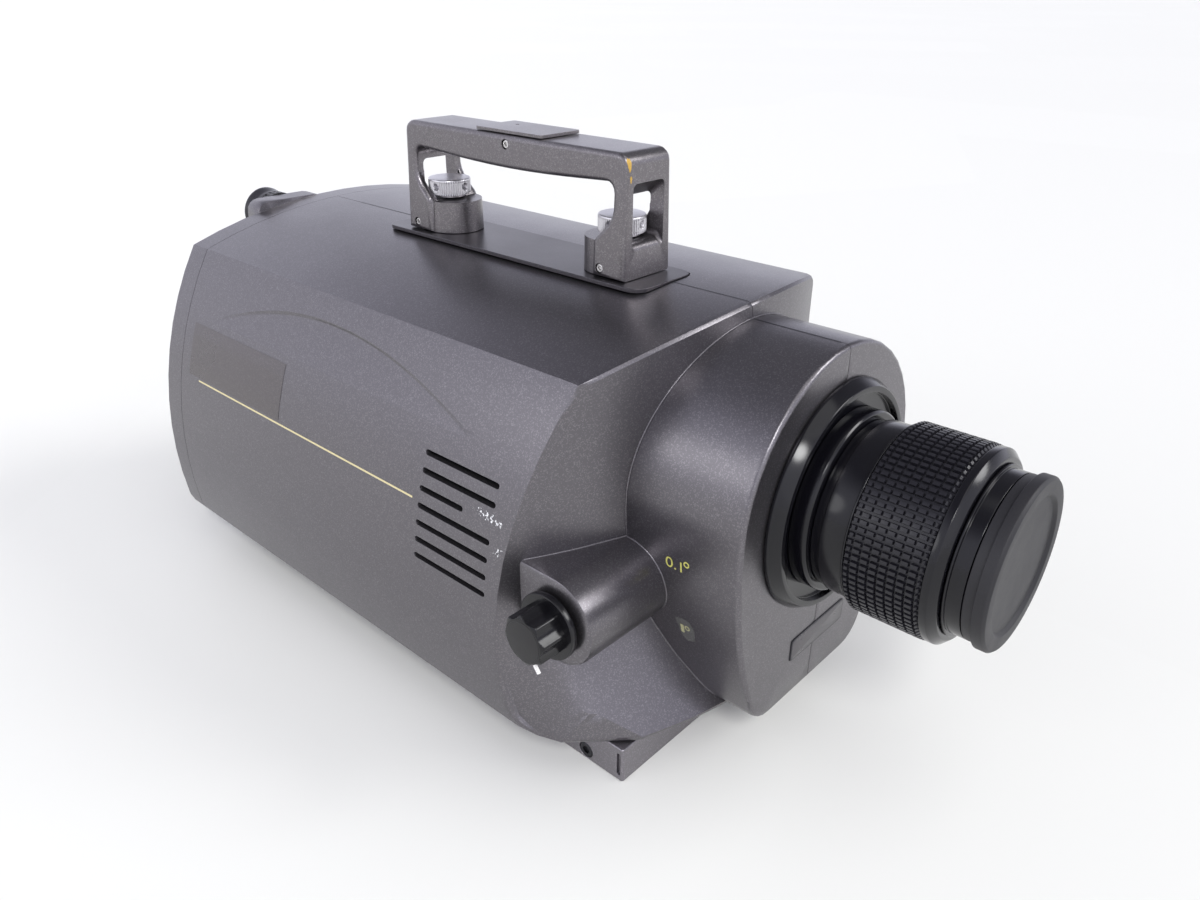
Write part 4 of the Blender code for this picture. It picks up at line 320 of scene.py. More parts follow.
# %% Paint the solids
painted = {
    housing_paint: ["left_shell", "right_shell", "rear_cover"],
    painted_light_base_paint: ["base_block"],
    handle_paint: ["handle", "top_plate"],
    plate_paint: ["seat_plate"],
    anodised: ["lens_tube", "lens_flange", "mount_ring", "lens_barrel", "focus_ring", "front_cell",
               "eyepiece_tube", "diopter_ring", "shaft_bush", "slit_plate"],
    grip_rubber: ["focus_grip", "eye_cup", "rear_foot_left", "rear_foot_right"],
    cap_plastic: ["lens_cap"],
    black_plastic: ["selector_knob", "switch_frame", "power_rocker", "power_inlet"],
    silver: ["thumbscrew_front", "thumbscrew_rear"],
    steel: ["selector_shaft", "serial_connector", "grub_screw_1", "grub_screw_2", "grub_screw_3"],
    dark_steel: ["cover_screw_1", "cover_screw_2", "cover_screw_3", "cover_screw_4", "base_screw_left",
                 "base_screw_right"],
    brass: ["aperture_slide"],
    casting: ["optical_bench", "slit_bracket", "collimator_bracket", "focusing_bracket", "grating_bracket",
              "detector_bracket", "guide_rail_left", "guide_rail_right"],
    mirror: ["collimator_mirror", "focusing_mirror"],
    ruled: ["grating"],
    board_green: ["main_board", "detector_board"],
    white_print: ["knob_pointer"],
    glass: ["front_lens", "rear_lens", "eye_lens"],
}
for finish, names in painted.items():
    for name in names:
        nodes[name].data.materials.clear()
        nodes[name].data.materials.append(finish)
finish_of = {name: finish for finish, names in painted.items() for name in names}
body_of_node = {n: body for body, members in frame["record"]["behaviour"]["bodies"].items() for n in members}
print("unpainted:", sorted(set(nodes) - set(finish_of)))

# %% [markdown]
# ## Smooth skins
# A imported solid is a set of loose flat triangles, which shows every facet of a curve in a satin paint. The
# solid itself stays as it is, so a copy takes its place: its triangles are joined into one skin, and
# neighbours that meet at less than a set angle are shaded as one surface. Real castings have no knife edges
# either, so a narrow bevel catches the light where two faces meet. Last, the normals lean towards the larger
# faces, so that flat sides stay flat right up to a rounded edge.

# %% Joined and smoothed copies of the solids
def joined(name, flat):
    """A copy of a node's mesh, and a form of it whose triangles are joined within this angle, in degrees."""
    data = nodes[name].data.copy()
    form = bmesh.new()
    form.from_mesh(data)
    bmesh.ops.remove_doubles(form, verts=form.verts, dist=0.00001)
    bmesh.ops.dissolve_limit(form, angle_limit=radians(flat), verts=form.verts, edges=form.edges)
    return data, form


def shade(data, form, sharp):
    """Write a form back to its mesh, shaded smooth where faces meet at less than the sharp angle."""
    form.to_mesh(data)
    form.free()
    data.shade_smooth()
    data.set_sharp_from_angle(angle=radians(sharp))


def put(name, data, body):
    """An object for a finished mesh, which rides on a body."""
    piece = bpy.data.objects.new(name, data)
    scene.collection.objects.link(piece)
    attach(piece, body)
    return piece


def smooth_skin(name, sharp=32, bevel=0.0, segments=2):
    """A joined copy of a node, with a narrow bevel where a width is given, whose normals lean towards its
    larger faces.
    """
    data, form = joined(name, flat=0.5)
    shade(data, form, sharp)
    piece = put(name + "_skin", data, body_of_node[name])
    if bevel:
        rounding = piece.modifiers.new("bevel", "BEVEL")
        rounding.width = bevel
        rounding.segments = segments
        rounding.limit_method = "ANGLE"
        rounding.angle_limit = radians(sharp)
    leaning = piece.modifiers.new("normals", "WEIGHTED_NORMAL")
    leaning.keep_sharp = True
    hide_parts(name)
    return piece


skins = {"seat_plate": smooth_skin("seat_plate", bevel=0.0002)}
for name in ("lens_tube", "eyepiece_tube", "rear_foot_left", "rear_foot_right", "power_inlet", "shaft_bush"):
    skins[name] = smooth_skin(name)
skins["handle"] = smooth_skin("handle", sharp=50, bevel=0.0015, segments=3)
for name, bevel in (("base_block", 0.0005), ("top_plate", 0.0002), ("power_rocker", 0.0003),
                    ("switch_frame", 0.0003), ("serial_connector", 0.0002)):
    skins[name] = smooth_skin(name, bevel=bevel)
print({name: len(piece.data.polygons) for name, piece in skins.items()})

# %% [markdown]
# ## The housing's true curves
# The crown, the bulged side, the bowed front with its chin, the nose and the pod are curved, and satin paint
# shows every flat facet of a curved form. Smoothing by angle guesses the curve from its facets, and guesses
# badly where long triangles meet a nose. The curves are known here, though, so each can say which way it
# faces at any point: a round form faces away from its centre line, and a face y = f(x, z) faces along (df/dx,
# -1, df/dz).

# %% The front and its bow
FRONT_PLACE, AXIS_UP = -0.0397, 0.1015
FRONT_RADIUS, CHIN_START, CHIN_END, CHIN_REACH = 0.171, 0.0189, 0.0855, 0.0305
LEFT_EDGE, RIGHT_EDGE, CHIN_FADE = -0.1021, 0.0595, 0.019


def eased(share):
    """The smooth step 3 s^2 - 2 s^3, held between nought and one."""
    held = np.clip(share, 0, 1)
    return held * held * (3 - 2 * held)


def front_place(x, rise):
    """The front's y: a bow x^2 / 2R, less a chin that grows with the depth squared and fades at the sides."""
    depth = np.clip((-rise - CHIN_START) / (CHIN_END - CHIN_START), 0, 1)
    from_side = np.minimum(x - LEFT_EDGE, RIGHT_EDGE - x)
    return FRONT_PLACE + x * x / (2 * FRONT_RADIUS) - CHIN_REACH * depth ** 2 * eased(from_side / CHIN_FADE)


def slope(height, a, b, step):
    """The slopes of height(a, b) along a and along b, by small differences."""
    return ((height(a + step, b) - height(a - step, b)) / (2 * step),
            (height(a, b + step) - height(a, b - step)) / (2 * step))


def of_length_one(directions):
    return directions / np.linalg.norm(directions, axis=1, keepdims=True)


def front_faces(points):
    """Distance from the front y = f(x, rise), and the direction (df/dx, -1, df/drise)."""
    x, y, rise = points[:, 0], points[:, 1], points[:, 2] - AXIS_UP
    slope_x, slope_z = slope(front_place, x, rise, 0.0002)
    away = of_length_one(np.stack([slope_x, -np.ones_like(x), slope_z], axis=1))
    return np.abs(y - front_place(x, rise)), away


print("front at the axis:", front_place(0.0, 0.0), "at the chin:", round(float(front_place(0.0, -CHIN_END)), 4))

# %% [markdown]
# Two kinds of form are round. A face round a centre line is as far from it everywhere, and points away from
# it. The nose's front rim is a quarter of a ring tube: its middle circle lies one rim radius inside the nose
# and one behind its front, and the rim points away from that circle. Each function also says where it holds,
# and elsewhere its distance is a metre, so that no face belongs to it.

# %% Round forms and the rim
NOSE_FRONT, RIM = -0.0791, 0.0018


def round_faces(centre_a, centre_b, radius, where, axes=(0, 2)):
    """A form round a centre line: axes names its two cross coordinates, and where limits it to a part."""
    def faces(points):
        a, b = points[:, axes[0]] - centre_a, points[:, axes[1]] - centre_b
        away = np.hypot(a, b) + 1e-9
        normal = np.zeros_like(points)
        normal[:, axes[0]], normal[:, axes[1]] = a / away, b / away
        return np.where(where(points), np.abs(away - radius), 1.0), normal
    return faces


def rim_faces(centre_x, radius, where):
    """The nose's front rim, round a circle of radius less RIM, at NOSE_FRONT plus RIM."""
    def faces(points):
        x, rise = points[:, 0] - centre_x, points[:, 2] - AXIS_UP
        away = np.hypot(x, rise) + 1e-9
        out, forward = away - (radius - RIM), NOSE_FRONT + RIM - points[:, 1]
        reach = np.hypot(out, forward) + 1e-9
        normal = np.stack([x / away * out / reach, -forward / reach, rise / away * out / reach], axis=1)
        inside = where(points) & (out > -0.00002) & (forward > -0.00002)
        return np.where(inside, np.abs(reach - RIM), 1.0), normal
    return faces


# %% [markdown]
# The pressed scoop in the left side is sunk between a straight base line and an arch: the side tilts in from
# the base line up to the arch, and above the arch it rounds back out. Its depth fades to nought at both ends.

# %% The side and its scoop
SIDE_X, SIDE_RISE, SIDE_RADIUS = 0.0794, -0.0499, 0.1815
SCOOP_MIDDLE, SCOOP_AHEAD, SCOOP_BEHIND = FRONT_PLACE + 0.1477, 0.096, 0.088
SCOOP_BASE, SCOOP_RISE, SCOOP_DEPTH, SCOOP_ROUND = 0.020, 0.017, 0.0021, 0.0042


def scoop_depth(y, rise):
    """How far the side is pressed in: a tilt up to the arch, and an eased step above it."""
    share = (y - SCOOP_MIDDLE) / np.where(y < SCOOP_MIDDLE, SCOOP_AHEAD, SCOOP_BEHIND)
    room = np.maximum(1 - share ** 2, 0)
    arch = SCOOP_BASE + SCOOP_RISE * room
    tilted = np.minimum(SCOOP_DEPTH * np.clip((rise - SCOOP_BASE) / SCOOP_RISE, 0, None), SCOOP_DEPTH * room)
    return np.where(rise < arch, tilted, SCOOP_DEPTH * room * (1 - eased((rise - arch) / SCOOP_ROUND)))


def side_place(y, rise):
    """The left side's x: a wide arc over the height, and the scoop."""
    return SIDE_X - np.sqrt(SIDE_RADIUS ** 2 - (rise - SIDE_RISE) ** 2) + scoop_depth(y, rise)


def scoop_faces(points):
    """Distance from the pressed side x = f(y, rise), and the direction (-1, df/dy, df/drise)."""
    y, rise = points[:, 1], points[:, 2] - AXIS_UP
    slope_y, slope_z = slope(side_place, y, rise, 0.0003)
    away = of_length_one(np.stack([-np.ones_like(y), slope_y, slope_z], axis=1))
    inside = (scoop_depth(y, rise) > 0.00002) & (points[:, 0] < 0)
    return np.where(inside, np.abs(points[:, 0] - side_place(y, rise)), 1.0), away


# %% [markdown]
# The nose is an arch above its axis and two wide arcs below it, which meet the underside in two small rounds.
# The list below holds every curve of the housing, and each pair of arcs is written once and made for both
# sides.

# %% The list of curves
NOSE_RADIUS, NOSE_ARC_X, NOSE_ARC_RADIUS = 0.0564, 0.1251, 0.1815
NOSE_FOOT_X, NOSE_FOOT_UP, NOSE_FOOT_RADIUS, NOSE_FOOT_TOP = 0.02697, AXIS_UP - 0.0702, 0.014, 0.034
AHEAD = FRONT_PLACE + 0.004


def nose_top(p):
    return (p[:, 1] < AHEAD) & (p[:, 2] > AXIS_UP - 0.0001)


def nose_foot(p):
    return (p[:, 1] < AHEAD) & (p[:, 2] < NOSE_FOOT_TOP)


def nose_side(side, above=-1.0):
    """True beside the nose under its axis: side is -1 for the left, and above is the lowest height."""
    return lambda p: (p[:, 1] < AHEAD) & (p[:, 2] < AXIS_UP) & (p[:, 2] > above) & (side * p[:, 0] > 0.03)


sides = (-1, 1)
curves = [
    front_faces,
    scoop_faces,
    round_faces(0.0116, AXIS_UP - 0.1964, 0.259, lambda p: (p[:, 2] > 0.12) & (p[:, 1] > AHEAD - 0.012)),
    round_faces(SIDE_X, AXIS_UP + SIDE_RISE, SIDE_RADIUS,
                lambda p: (p[:, 0] < -0.07) & (p[:, 1] > AHEAD - 0.04)),
    round_faces(0, AXIS_UP, NOSE_RADIUS, nose_top),
    rim_faces(0, NOSE_RADIUS, nose_top),
    *(rim_faces(-side * NOSE_ARC_X, NOSE_ARC_RADIUS, nose_side(side, NOSE_FOOT_TOP)) for side in sides),
    *(round_faces(-side * NOSE_ARC_X, AXIS_UP, NOSE_ARC_RADIUS, nose_side(side)) for side in sides),
    *(round_faces(side * NOSE_FOOT_X, NOSE_FOOT_UP, NOSE_FOOT_RADIUS, nose_foot) for side in sides),
    round_faces(-0.031, 0.0716, 0.017, lambda p: (p[:, 0] < -0.045) & (p[:, 1] < -0.0308), axes=(1, 2)),
]
print("curves:", len(curves))

# %% [markdown]
# The housing's skins are cut finer first, so that their corners are close enough together to follow the
# curves. Each face then belongs to the curve that it lies nearest to and faces with, and its corners take
# that curve's own direction. Faces that belong to none, such as slots and inner rims, keep the smoothed
# guess, but where they meet a curve they take its direction there, so that a rim runs into its face without a
# line.

# %% A finer copy
LONGEST_EDGES, HOUSING_BEVEL = (0.016, 0.009), 0.0004


def finer_copy(name):
    """A joined mesh of a node with narrow bevels, whose long edges are halved twice."""
    data, form = joined(name, flat=0.2)
    corners = [e for e in form.edges if len(e.link_faces) == 2 and e.calc_face_angle(0) > radians(30)]
    bmesh.ops.bevel(form, geom=corners, offset=HOUSING_BEVEL, segments=2, profile=0.5, affect="EDGES",
                    clamp_overlap=True)
    bmesh.ops.triangulate(form, faces=form.faces)
    for size in LONGEST_EDGES:
        long_edges = [e for e in form.edges if e.calc_length() > size]
        bmesh.ops.subdivide_edges(form, edges=long_edges, cuts=1, use_grid_fill=True)
        bmesh.ops.triangulate(form, faces=form.faces)
    shade(data, form, sharp=28)
    return data


def values_of(items, key, width=3, kind=float):
    """One value of each item of a mesh, as an array with a row for each item."""
    values = np.empty(len(items) * width, kind)
    items.foreach_get(key, values)
    return values.reshape(-1, width) if width > 1 else values


# %% Housing skins with the curves' own directions
FAR, TURNED, NO_CURVE = 0.0012, 22, 1.5


def face_by_curves(data):
    """A face scores distance / FAR + turn / TURNED on each curve, and takes the curve with the lowest score."""
    place, corner = values_of(data.vertices, "co"), values_of(data.loops, "vertex_index", 1, int)
    facing, middle = values_of(data.polygons, "normal"), values_of(data.polygons, "center")
    normals = values_of(data.corner_normals, "vector")
    owner = np.repeat(np.arange(len(facing)), 3)

    def score(curve):
        off, normal = curve(middle)
        turned = np.degrees(np.arccos(np.clip((normal * facing).sum(axis=1), -1, 1)))
        return off / FAR + turned / TURNED

    scores = np.stack([score(curve) for curve in curves])
    chosen = np.where(scores.min(axis=0) < NO_CURVE, scores.argmin(axis=0), -1)
    for index, curve in enumerate(curves):
        own = curve(place)[1][corner]
        mine = chosen[owner] == index
        touched = np.zeros(len(place), bool)
        touched[corner[mine]] = True
        near = (chosen[owner] == -1) & touched[corner] & ((own * facing[owner]).sum(axis=1) > cos(radians(33)))
        normals[mine | near] = own[mine | near]
    data.normals_split_custom_set(normals.tolist())
    return np.bincount(chosen + 1, minlength=len(curves) + 1)


for name in ("left_shell", "right_shell", "rear_cover"):
    data = finer_copy(name)
    count = face_by_curves(data)
    skins[name] = put(name + "_skin", data, body_of_node[name])
    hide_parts(name)
    print(name, "faces", len(data.polygons), "by curve", count.tolist())

# %% [markdown]
# ## Grids of points
# Every new surface here is a grid: rows and columns of points, worked out as whole arrays, and joined into
# quads. A ring closes its columns, a tube wall closes its rows too, and a print is open both ways. A closed
# surface has to face outwards, which the sign of its volume tells. A print has none, so it's told which way
# to face.

# %% From a grid to a mesh
def grid_surface(name, points, finish, body, closed_rows=True, closed_columns=True, sharp=40, facing=None):
    """A grid of points (rows, columns, 3) in quads, which face outwards by volume, or towards a direction."""
    rows, columns = points.shape[:2]
    row = np.arange(rows if closed_rows else rows - 1)[:, None]
    column = np.arange(columns if closed_columns else columns - 1)[None, :]
    next_row, next_column = (row + 1) % rows, (column + 1) % columns
    quads = np.stack([row * columns + column, next_row * columns + column,
                      next_row * columns + next_column, row * columns + next_column], axis=-1).reshape(-1, 4)
    flat = points.reshape(-1, 3)
    corners = flat[quads]
    normals = np.cross(corners[:, 2] - corners[:, 0], corners[:, 3] - corners[:, 1])
    outwards = corners.mean(axis=1) - flat.mean(axis=0) if facing is None else np.array(facing)[None, :]
    if (normals * outwards).sum() < 0:
        quads = quads[:, ::-1]
    data = bpy.data.meshes.new(name)
    data.from_pydata(flat.tolist(), [], quads.tolist())
    form = bmesh.new()
    form.from_mesh(data)
    bmesh.ops.remove_doubles(form, verts=form.verts, dist=0.000001)
    shade(data, form, sharp)
    data.materials.append(finish)
    return put(name, data, body)


# %% [markdown]
# ## Lathe work
# Most of the small parts are turned or moulded round an axis: lens rings, knob, thumbscrews, eyecup, screws.
# Such a piece is a closed profile of radius and height, carried round. Where the profile turns a corner, a
# short curve takes its place, as the file that breaks a turned edge does. Flutes, teeth and sockets are a
# change of the radius with the angle, so they need no cutting.

# %% A profile carried round an axis
NOSE_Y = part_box("lens_flange")[1].y + 0.0003
AXIS_Z = (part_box("lens_barrel")[0].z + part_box("lens_barrel")[1].z) / 2
LENS_AXIS = ((0, NOSE_Y, AXIS_Z), (0, -1, 0), (1, 0, 0))
print("nose face", round(NOSE_Y, 4), "axis height", round(AXIS_Z, 4))


def broken_edges(points, cut, steps=4):
    """Each corner P of a closed profile becomes the curve (1 - t)^2 start + 2t(1 - t) P + t^2 end, where start
    and end lie one cut from P on its two sides. A corner on the axis stays as it is."""
    points = np.array(points, float)
    cut = np.where(points[:, :1] > 0, cut, 0)

    def towards(neighbour):
        length = np.linalg.norm(neighbour - points, axis=1, keepdims=True)
        return points + (neighbour - points) * np.minimum(cut / length, 0.45)

    start, end = towards(np.roll(points, 1, axis=0)), towards(np.roll(points, -1, axis=0))
    t = np.linspace(0, 1, steps)[None, :, None]
    curve = (1 - t) ** 2 * start[:, None] + 2 * t * (1 - t) * points[:, None] + t ** 2 * end[:, None]
    return curve.reshape(-1, 2)


def around(steps):
    """Angles of a full turn, as one row."""
    return np.linspace(0, 2 * pi, steps, endpoint=False)[None, :]


def lathe(name, profile, axis, finish, body, cut=0.3, steps=160, shape=None, extra=(), sharp=40):
    """Point (radius, height) of the profile in millimetres, at angle a, lies at place + height * along
    + radius * (cos a * across + sin a * third). Extra heights add rows to the outer wall."""
    line = broken_edges(profile, cut)
    if len(extra):
        tall = np.abs(np.roll(line, -1, axis=0)[:, 1] - line[:, 1])
        wall = int(np.argmax(np.where(line[:, 0] > 0.9 * line[:, 0].max(), tall, 0)))
        first, last = line[wall], np.roll(line, -1, axis=0)[wall]
        heights = np.sort(np.array(extra, float))[:: 1 if last[1] > first[1] else -1]
        line = np.insert(line, wall + 1, np.stack([np.full(len(heights), first[0]), heights], axis=1), axis=0)
    angle = around(steps)
    radius = np.maximum(line[:, :1], 0) * np.ones_like(angle)
    height = line[:, 1:] * np.ones_like(angle)
    if shape:
        radius = shape(radius, height, angle)
    place, along, across = (np.array(v, float) for v in axis)
    third = np.cross(along, across)
    points = (place + height[..., None] / 1000 * along + (radius * np.cos(angle))[..., None] / 1000 * across
              + (radius * np.sin(angle))[..., None] / 1000 * third)
    return grid_surface(name, points, finish, body, sharp=sharp)


def stand_in(name, node_name, profile, axis, finish=None, **how):
    """A turned piece that takes the place of a node, with its finish and its body."""
    piece = lathe(name, profile, axis, finish or finish_of[node_name], body_of_node[node_name], **how)
    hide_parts(node_name)
    return piece


# %% [markdown]
# ## The lens rings
# Behind the grip come a flange disc with a sunk face, a thin ring and a plain barrel, and in front a bevelled
# ring and the narrow ring that carries the cap. They are black, and what tells them apart is where each edge
# catches the light, so every profile has its own steps and broken edges.

# %% Turned rings of the lens
ring_profiles = {
    "lens_flange": [(41.3, 5.5), (43.6, 1.4), (43.6, 0.3), (27.3, 0.3), (27.3, 2.9), (39.1, 2.9), (39.1, 5.5)],
    "mount_ring": [(32.8, 9.7), (33.6, 8.9), (33.6, 3.2), (27.3, 3.2), (27.3, 9.7)],
    "lens_barrel": [(31.8, 22.2), (31.8, 13.5), (30.8, 13.5), (30.8, 10.0), (27.3, 10.0), (27.3, 22.2)],
    "focus_ring": [(31.6, 54.9), (34.2, 52.5), (34.2, 50.0), (32.4, 50.0), (32.4, 23.3), (33.2, 23.3),
                   (33.2, 22.5), (27.3, 22.5), (27.3, 54.9)],
    "front_cell": [(27.2, 65.2), (27.2, 60.8), (28.6, 60.8), (28.6, 56.1), (29.9, 56.1), (29.9, 55.2),
                   (24.5, 55.2), (24.5, 33.2), (22.1, 33.2), (22.1, 65.2)],
    "lens_cap": [(0, 67.7), (23.0, 67.7), (24.2, 68.9), (28.9, 68.9), (29.9, 67.9), (29.9, 64.5), (28.6, 64.5),
                 (28.6, 61.1), (27.5, 61.1), (27.5, 65.5), (0, 65.5)],
}
for name, profile in ring_profiles.items():
    stand_in(name + "_turned", name, profile, LENS_AXIS, steps=192)
print("rings:", len(ring_profiles))

# %% [markdown]
# ## Glass
# Each lens bulges more on one side. A bulge is a shallow bowl, so its height falls with the square of the
# distance from the axis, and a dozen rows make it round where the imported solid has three.

# %% Lens glass
def bowl(name, node_name, axis, rim, front, back, front_bulge, back_bulge):
    """A disc whose two faces stand out by bulge * (1 - (r / rim)^2)."""
    share = np.linspace(0, 1, 13)
    face = np.stack([share * rim, front + front_bulge * (1 - share ** 2)], axis=1)
    under = np.stack([share[::-1] * rim, back - back_bulge * (1 - share[::-1] ** 2)], axis=1)
    stand_in(name, node_name, np.concatenate([face, under]), axis, cut=0.05, steps=96)


EYE_AXIS = ((-0.0194, 0.2402, 0.1531), (0, 1, 0), (1, 0, 0))
bowl("front_glass", "front_lens", LENS_AXIS, 21.8, 61.7, 56.7, 2.2, 1.1)
bowl("rear_glass", "rear_lens", LENS_AXIS, 24.5, 3.0, -3.0, 1.5, 0.75)
bowl("eye_glass", "eye_lens", EYE_AXIS, 7.3, 7.5, 4.5, 1.2, 1.2)
print("glass done")

# %% [markdown]
# ## The waffle grip
# The focusing ring wears a rubber sleeve of small raised pads, 88 around and 9 along. Each pad is a low block
# with sloped sides, longer than it is wide. Eighty-eight real blocks in nine rows could be copied round, but
# a sleeve is moulded in one piece. So the radius is base + rise * pad(along) * pad(around), and each pad
# takes six samples a side, set close together at its flanks.

# %% Rubber sleeve
def pad(phase, start, end):
    """One on top of a pad, with a low crown in its middle, and nought in the groove."""
    return np.where((phase > start) & (phase < end), 1.0, 0.0) * (1 + 0.08 * np.sin(pi * phase))


pitch, first_groove, sleeve_start, sleeve_end = 3.17, 26.05, 23.6, 49.7
pads_around, pads_along, groove_radius, end_radius, pad_height = 88, 9, 33.35, 32.7, 1.0
along_phase = np.array([0, 0.07, 0.14, 0.5, 0.86, 0.93])
around_phase = np.array([0, 0.17, 0.24, 0.5, 0.76, 0.83])
place_along = (first_groove + pitch * (np.arange(pads_along)[:, None] - 1 + along_phase[None, :])).ravel()
raised_along = np.tile(pad(along_phase, 0.1, 0.9), pads_along)
inside = (place_along > sleeve_start + 0.15) & (place_along < sleeve_end - 0.15)
place_along = np.concatenate([[sleeve_start, sleeve_start], place_along[inside], [sleeve_end, sleeve_end]])
raised_along = np.concatenate([[0, 0], raised_along[inside], [0, 0]])
base = np.full(len(place_along), groove_radius)
base[[0, -1]] = end_radius
turn = (2 * pi / pads_around * (np.arange(pads_around)[:, None] + around_phase[None, :])).ravel()
raised_around = np.tile(pad(around_phase, 0.2, 0.8), pads_around)
radius = (base[:, None] + pad_height * raised_along[:, None] * raised_around[None, :]) / 1000
y = np.broadcast_to((NOSE_Y - place_along / 1000)[:, None], radius.shape)
points = np.stack([radius * np.cos(turn)[None, :], y, AXIS_Z + radius * np.sin(turn)[None, :]], axis=-1)
sleeve = grid_surface("waffle_sleeve", points, grip_rubber, "focus", sharp=30)
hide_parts("focus_grip")
print("sleeve grid:", points.shape, "reach", round(float(radius.max()) * 1000, 2))

# %% [markdown]
# ## The selector knob
# The knob is a moulded cap on a skirt, with eight wide flutes for the fingers and a flat matte disc in its
# end. A flute is deepest in its middle, so the radius falls by depth * sin(pi * share) across each one, and a
# narrow land stays between two. The lands are placed so that one of them carries the pointer.

# %% Fluted knob and its end disc
KNOB_AXIS = ((-0.0948, -0.031, 0.0716), (-1, 0, 0), (0, 0, 1))
FLUTES, FLUTE_DEPTH, GRIP_RADIUS, SKIRT_TOP, POINTER_TURN = 8, 1.3, 9.5, 2.55, radians(54)


def fluted(radius, height, angle):
    """Above the skirt the radius stays under the grip's less the flute's depth at this angle."""
    share = ((POINTER_TURN - angle) / (2 * pi) * FLUTES) % 1
    depth = FLUTE_DEPTH * np.sin(pi * np.clip((share - 0.07) / 0.86, 0, 1)) ** 0.8
    return np.where(height > SKIRT_TOP, np.minimum(radius, GRIP_RADIUS - depth), radius)


knob_profile = [(0, 0), (12.4, 0), (12.4, 2.5), (9.5, 2.5), (9.5, 12.3), (8.2, 13.0), (0, 13.0)]
disc_profile = [(0, 12.7), (7.5, 12.7), (7.5, 13.12), (0, 13.12)]
knob = stand_in("fluted_knob", "selector_knob", knob_profile, KNOB_AXIS, cut=0.45, steps=256, shape=fluted,
                sharp=50)
lathe("knob_end_disc", disc_profile, KNOB_AXIS, disc_grey, "selector", cut=0.15, steps=96)
print("knob faces:", len(knob.data.polygons))

# %% [markdown]
# ## Knurled thumbscrews
# Two bright screws hold the handle. Each head is straight-knurled with fine teeth, has a rounded top edge,
# and is crossed by two holes for a tommy bar. The teeth are a cosine of the angle. A cross hole is where the
# radius drops to that of the hole's floor: inside a circle on the wall, measured round and up from the hole's
# middle.

# %% Thumbscrew heads
HEAD_RADIUS, TEETH, TOOTH, HOLE_UP, HOLE_RADIUS, HOLE_DEPTH = 9.3, 56, 0.24, 4.7, 1.62, 2.8


def knurled(radius, height, angle):
    """Teeth of twice TOOTH on the outer wall, and four round holes whose edge falls in over 0.2 mm."""
    wall = (radius > 9.0) & (height > 1.6) & (height < 7.2)
    toothed = radius - np.where(wall, TOOTH * (1 - np.cos(TEETH * angle)), 0)
    from_hole = (angle + pi / 4) % (pi / 2) - pi / 4
    distance = np.hypot(from_hole * HEAD_RADIUS, height - HOLE_UP)
    return np.where(wall, toothed - HOLE_DEPTH * np.clip((HOLE_RADIUS - distance) / 0.2, 0, 1), toothed)


thumb_profile = [(0, -14.8), (3.0, -14.8), (3.0, 0.0), (7.2, 0.0), (7.2, 1.4), (HEAD_RADIUS, 1.4),
                 (HEAD_RADIUS, 8.0), (0, 8.0)]
for name, y in (("thumbscrew_front", 0.0198), ("thumbscrew_rear", 0.1215)):
    axis = ((-0.0031, y, 0.1785), (0, 0, 1), (cos(radians(8)), sin(radians(8)), 0))
    screw = stand_in(name + "_knurled", name, thumb_profile, axis, cut=0.75, steps=560, shape=knurled,
                     extra=np.arange(2.7, 6.8, 0.2), sharp=60)
print("thumbscrew faces:", len(screw.data.polygons))

# %% [markdown]
# ## Small screws
# Set screws, base screws and cover screws all have a hexagon socket. A socket is a small inner wall whose
# radius follows a hexagon: the flat's distance over the cosine of the angle to that flat. Each screw's place,
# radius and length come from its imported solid, so one function makes all nine.

# %% Socket screws
def socket_screw(name, along, head, shank):
    """A head of this height and a shank of this share of its radius, in its node's box."""
    low, high = (np.array(corner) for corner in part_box(name))
    along = np.array(along, float)
    middle, half = (low + high) / 2, (high - low) / 2
    length = 2000 * abs(half @ along)
    size = 1000 * np.max(half * (1 - np.abs(along)))
    across = np.roll(along, 1)

    def hexagon(radius, height, angle):
        flat_turn = (angle % (pi / 3)) - pi / 6
        return np.where(radius < 0.6 * size, radius * cos(pi / 6) / np.cos(flat_turn), radius)

    profile = [(0, -0.6 * min(head, 2)), (0.56 * size, -0.6 * min(head, 2)), (0.56 * size, 0), (0.84 * size, 0),
               (size, -0.25), (size, -head), (shank * size, -head), (shank * size, -length), (0, -length)]
    if shank > 0.95:
        profile[5:8] = [(size, -length)]
    axis = (middle + along * abs(half @ along), along, across)
    stand_in(name + "_socket", name, profile, axis, cut=0.08, steps=48, shape=hexagon)


for number in (1, 2, 3):
    socket_screw(f"grub_screw_{number}", (-1, 0, 0), 3.9, 1)
for number in (1, 2, 3, 4):
    socket_screw(f"cover_screw_{number}", (0, 1, 0), 1.6, 0.65)
socket_screw("base_screw_left", (-1, 0, 0), 1.6, 0.6)
socket_screw("base_screw_right", (1, 0, 0), 1.6, 0.6)
print("socket screws done")

# %% [markdown]
# ## Eyepiece
# The eyecup is a soft rubber ring that flares towards the eye, and the diopter ring in front of it has fine
# ribs to grip. Both are lathe work again, the ribs a rounded wave of the angle.

# %% Eyecup and diopter ring
def ribbed(radius, height, angle):
    """Thirty ribs on the middle of the outer wall, 0.5 mm deep."""
    wall = (radius > 11) & (height > 0.8) & (height < 6.0)
    return radius - np.where(wall, 0.5 * (0.5 - 0.5 * np.cos(30 * angle)) ** 2, 0)


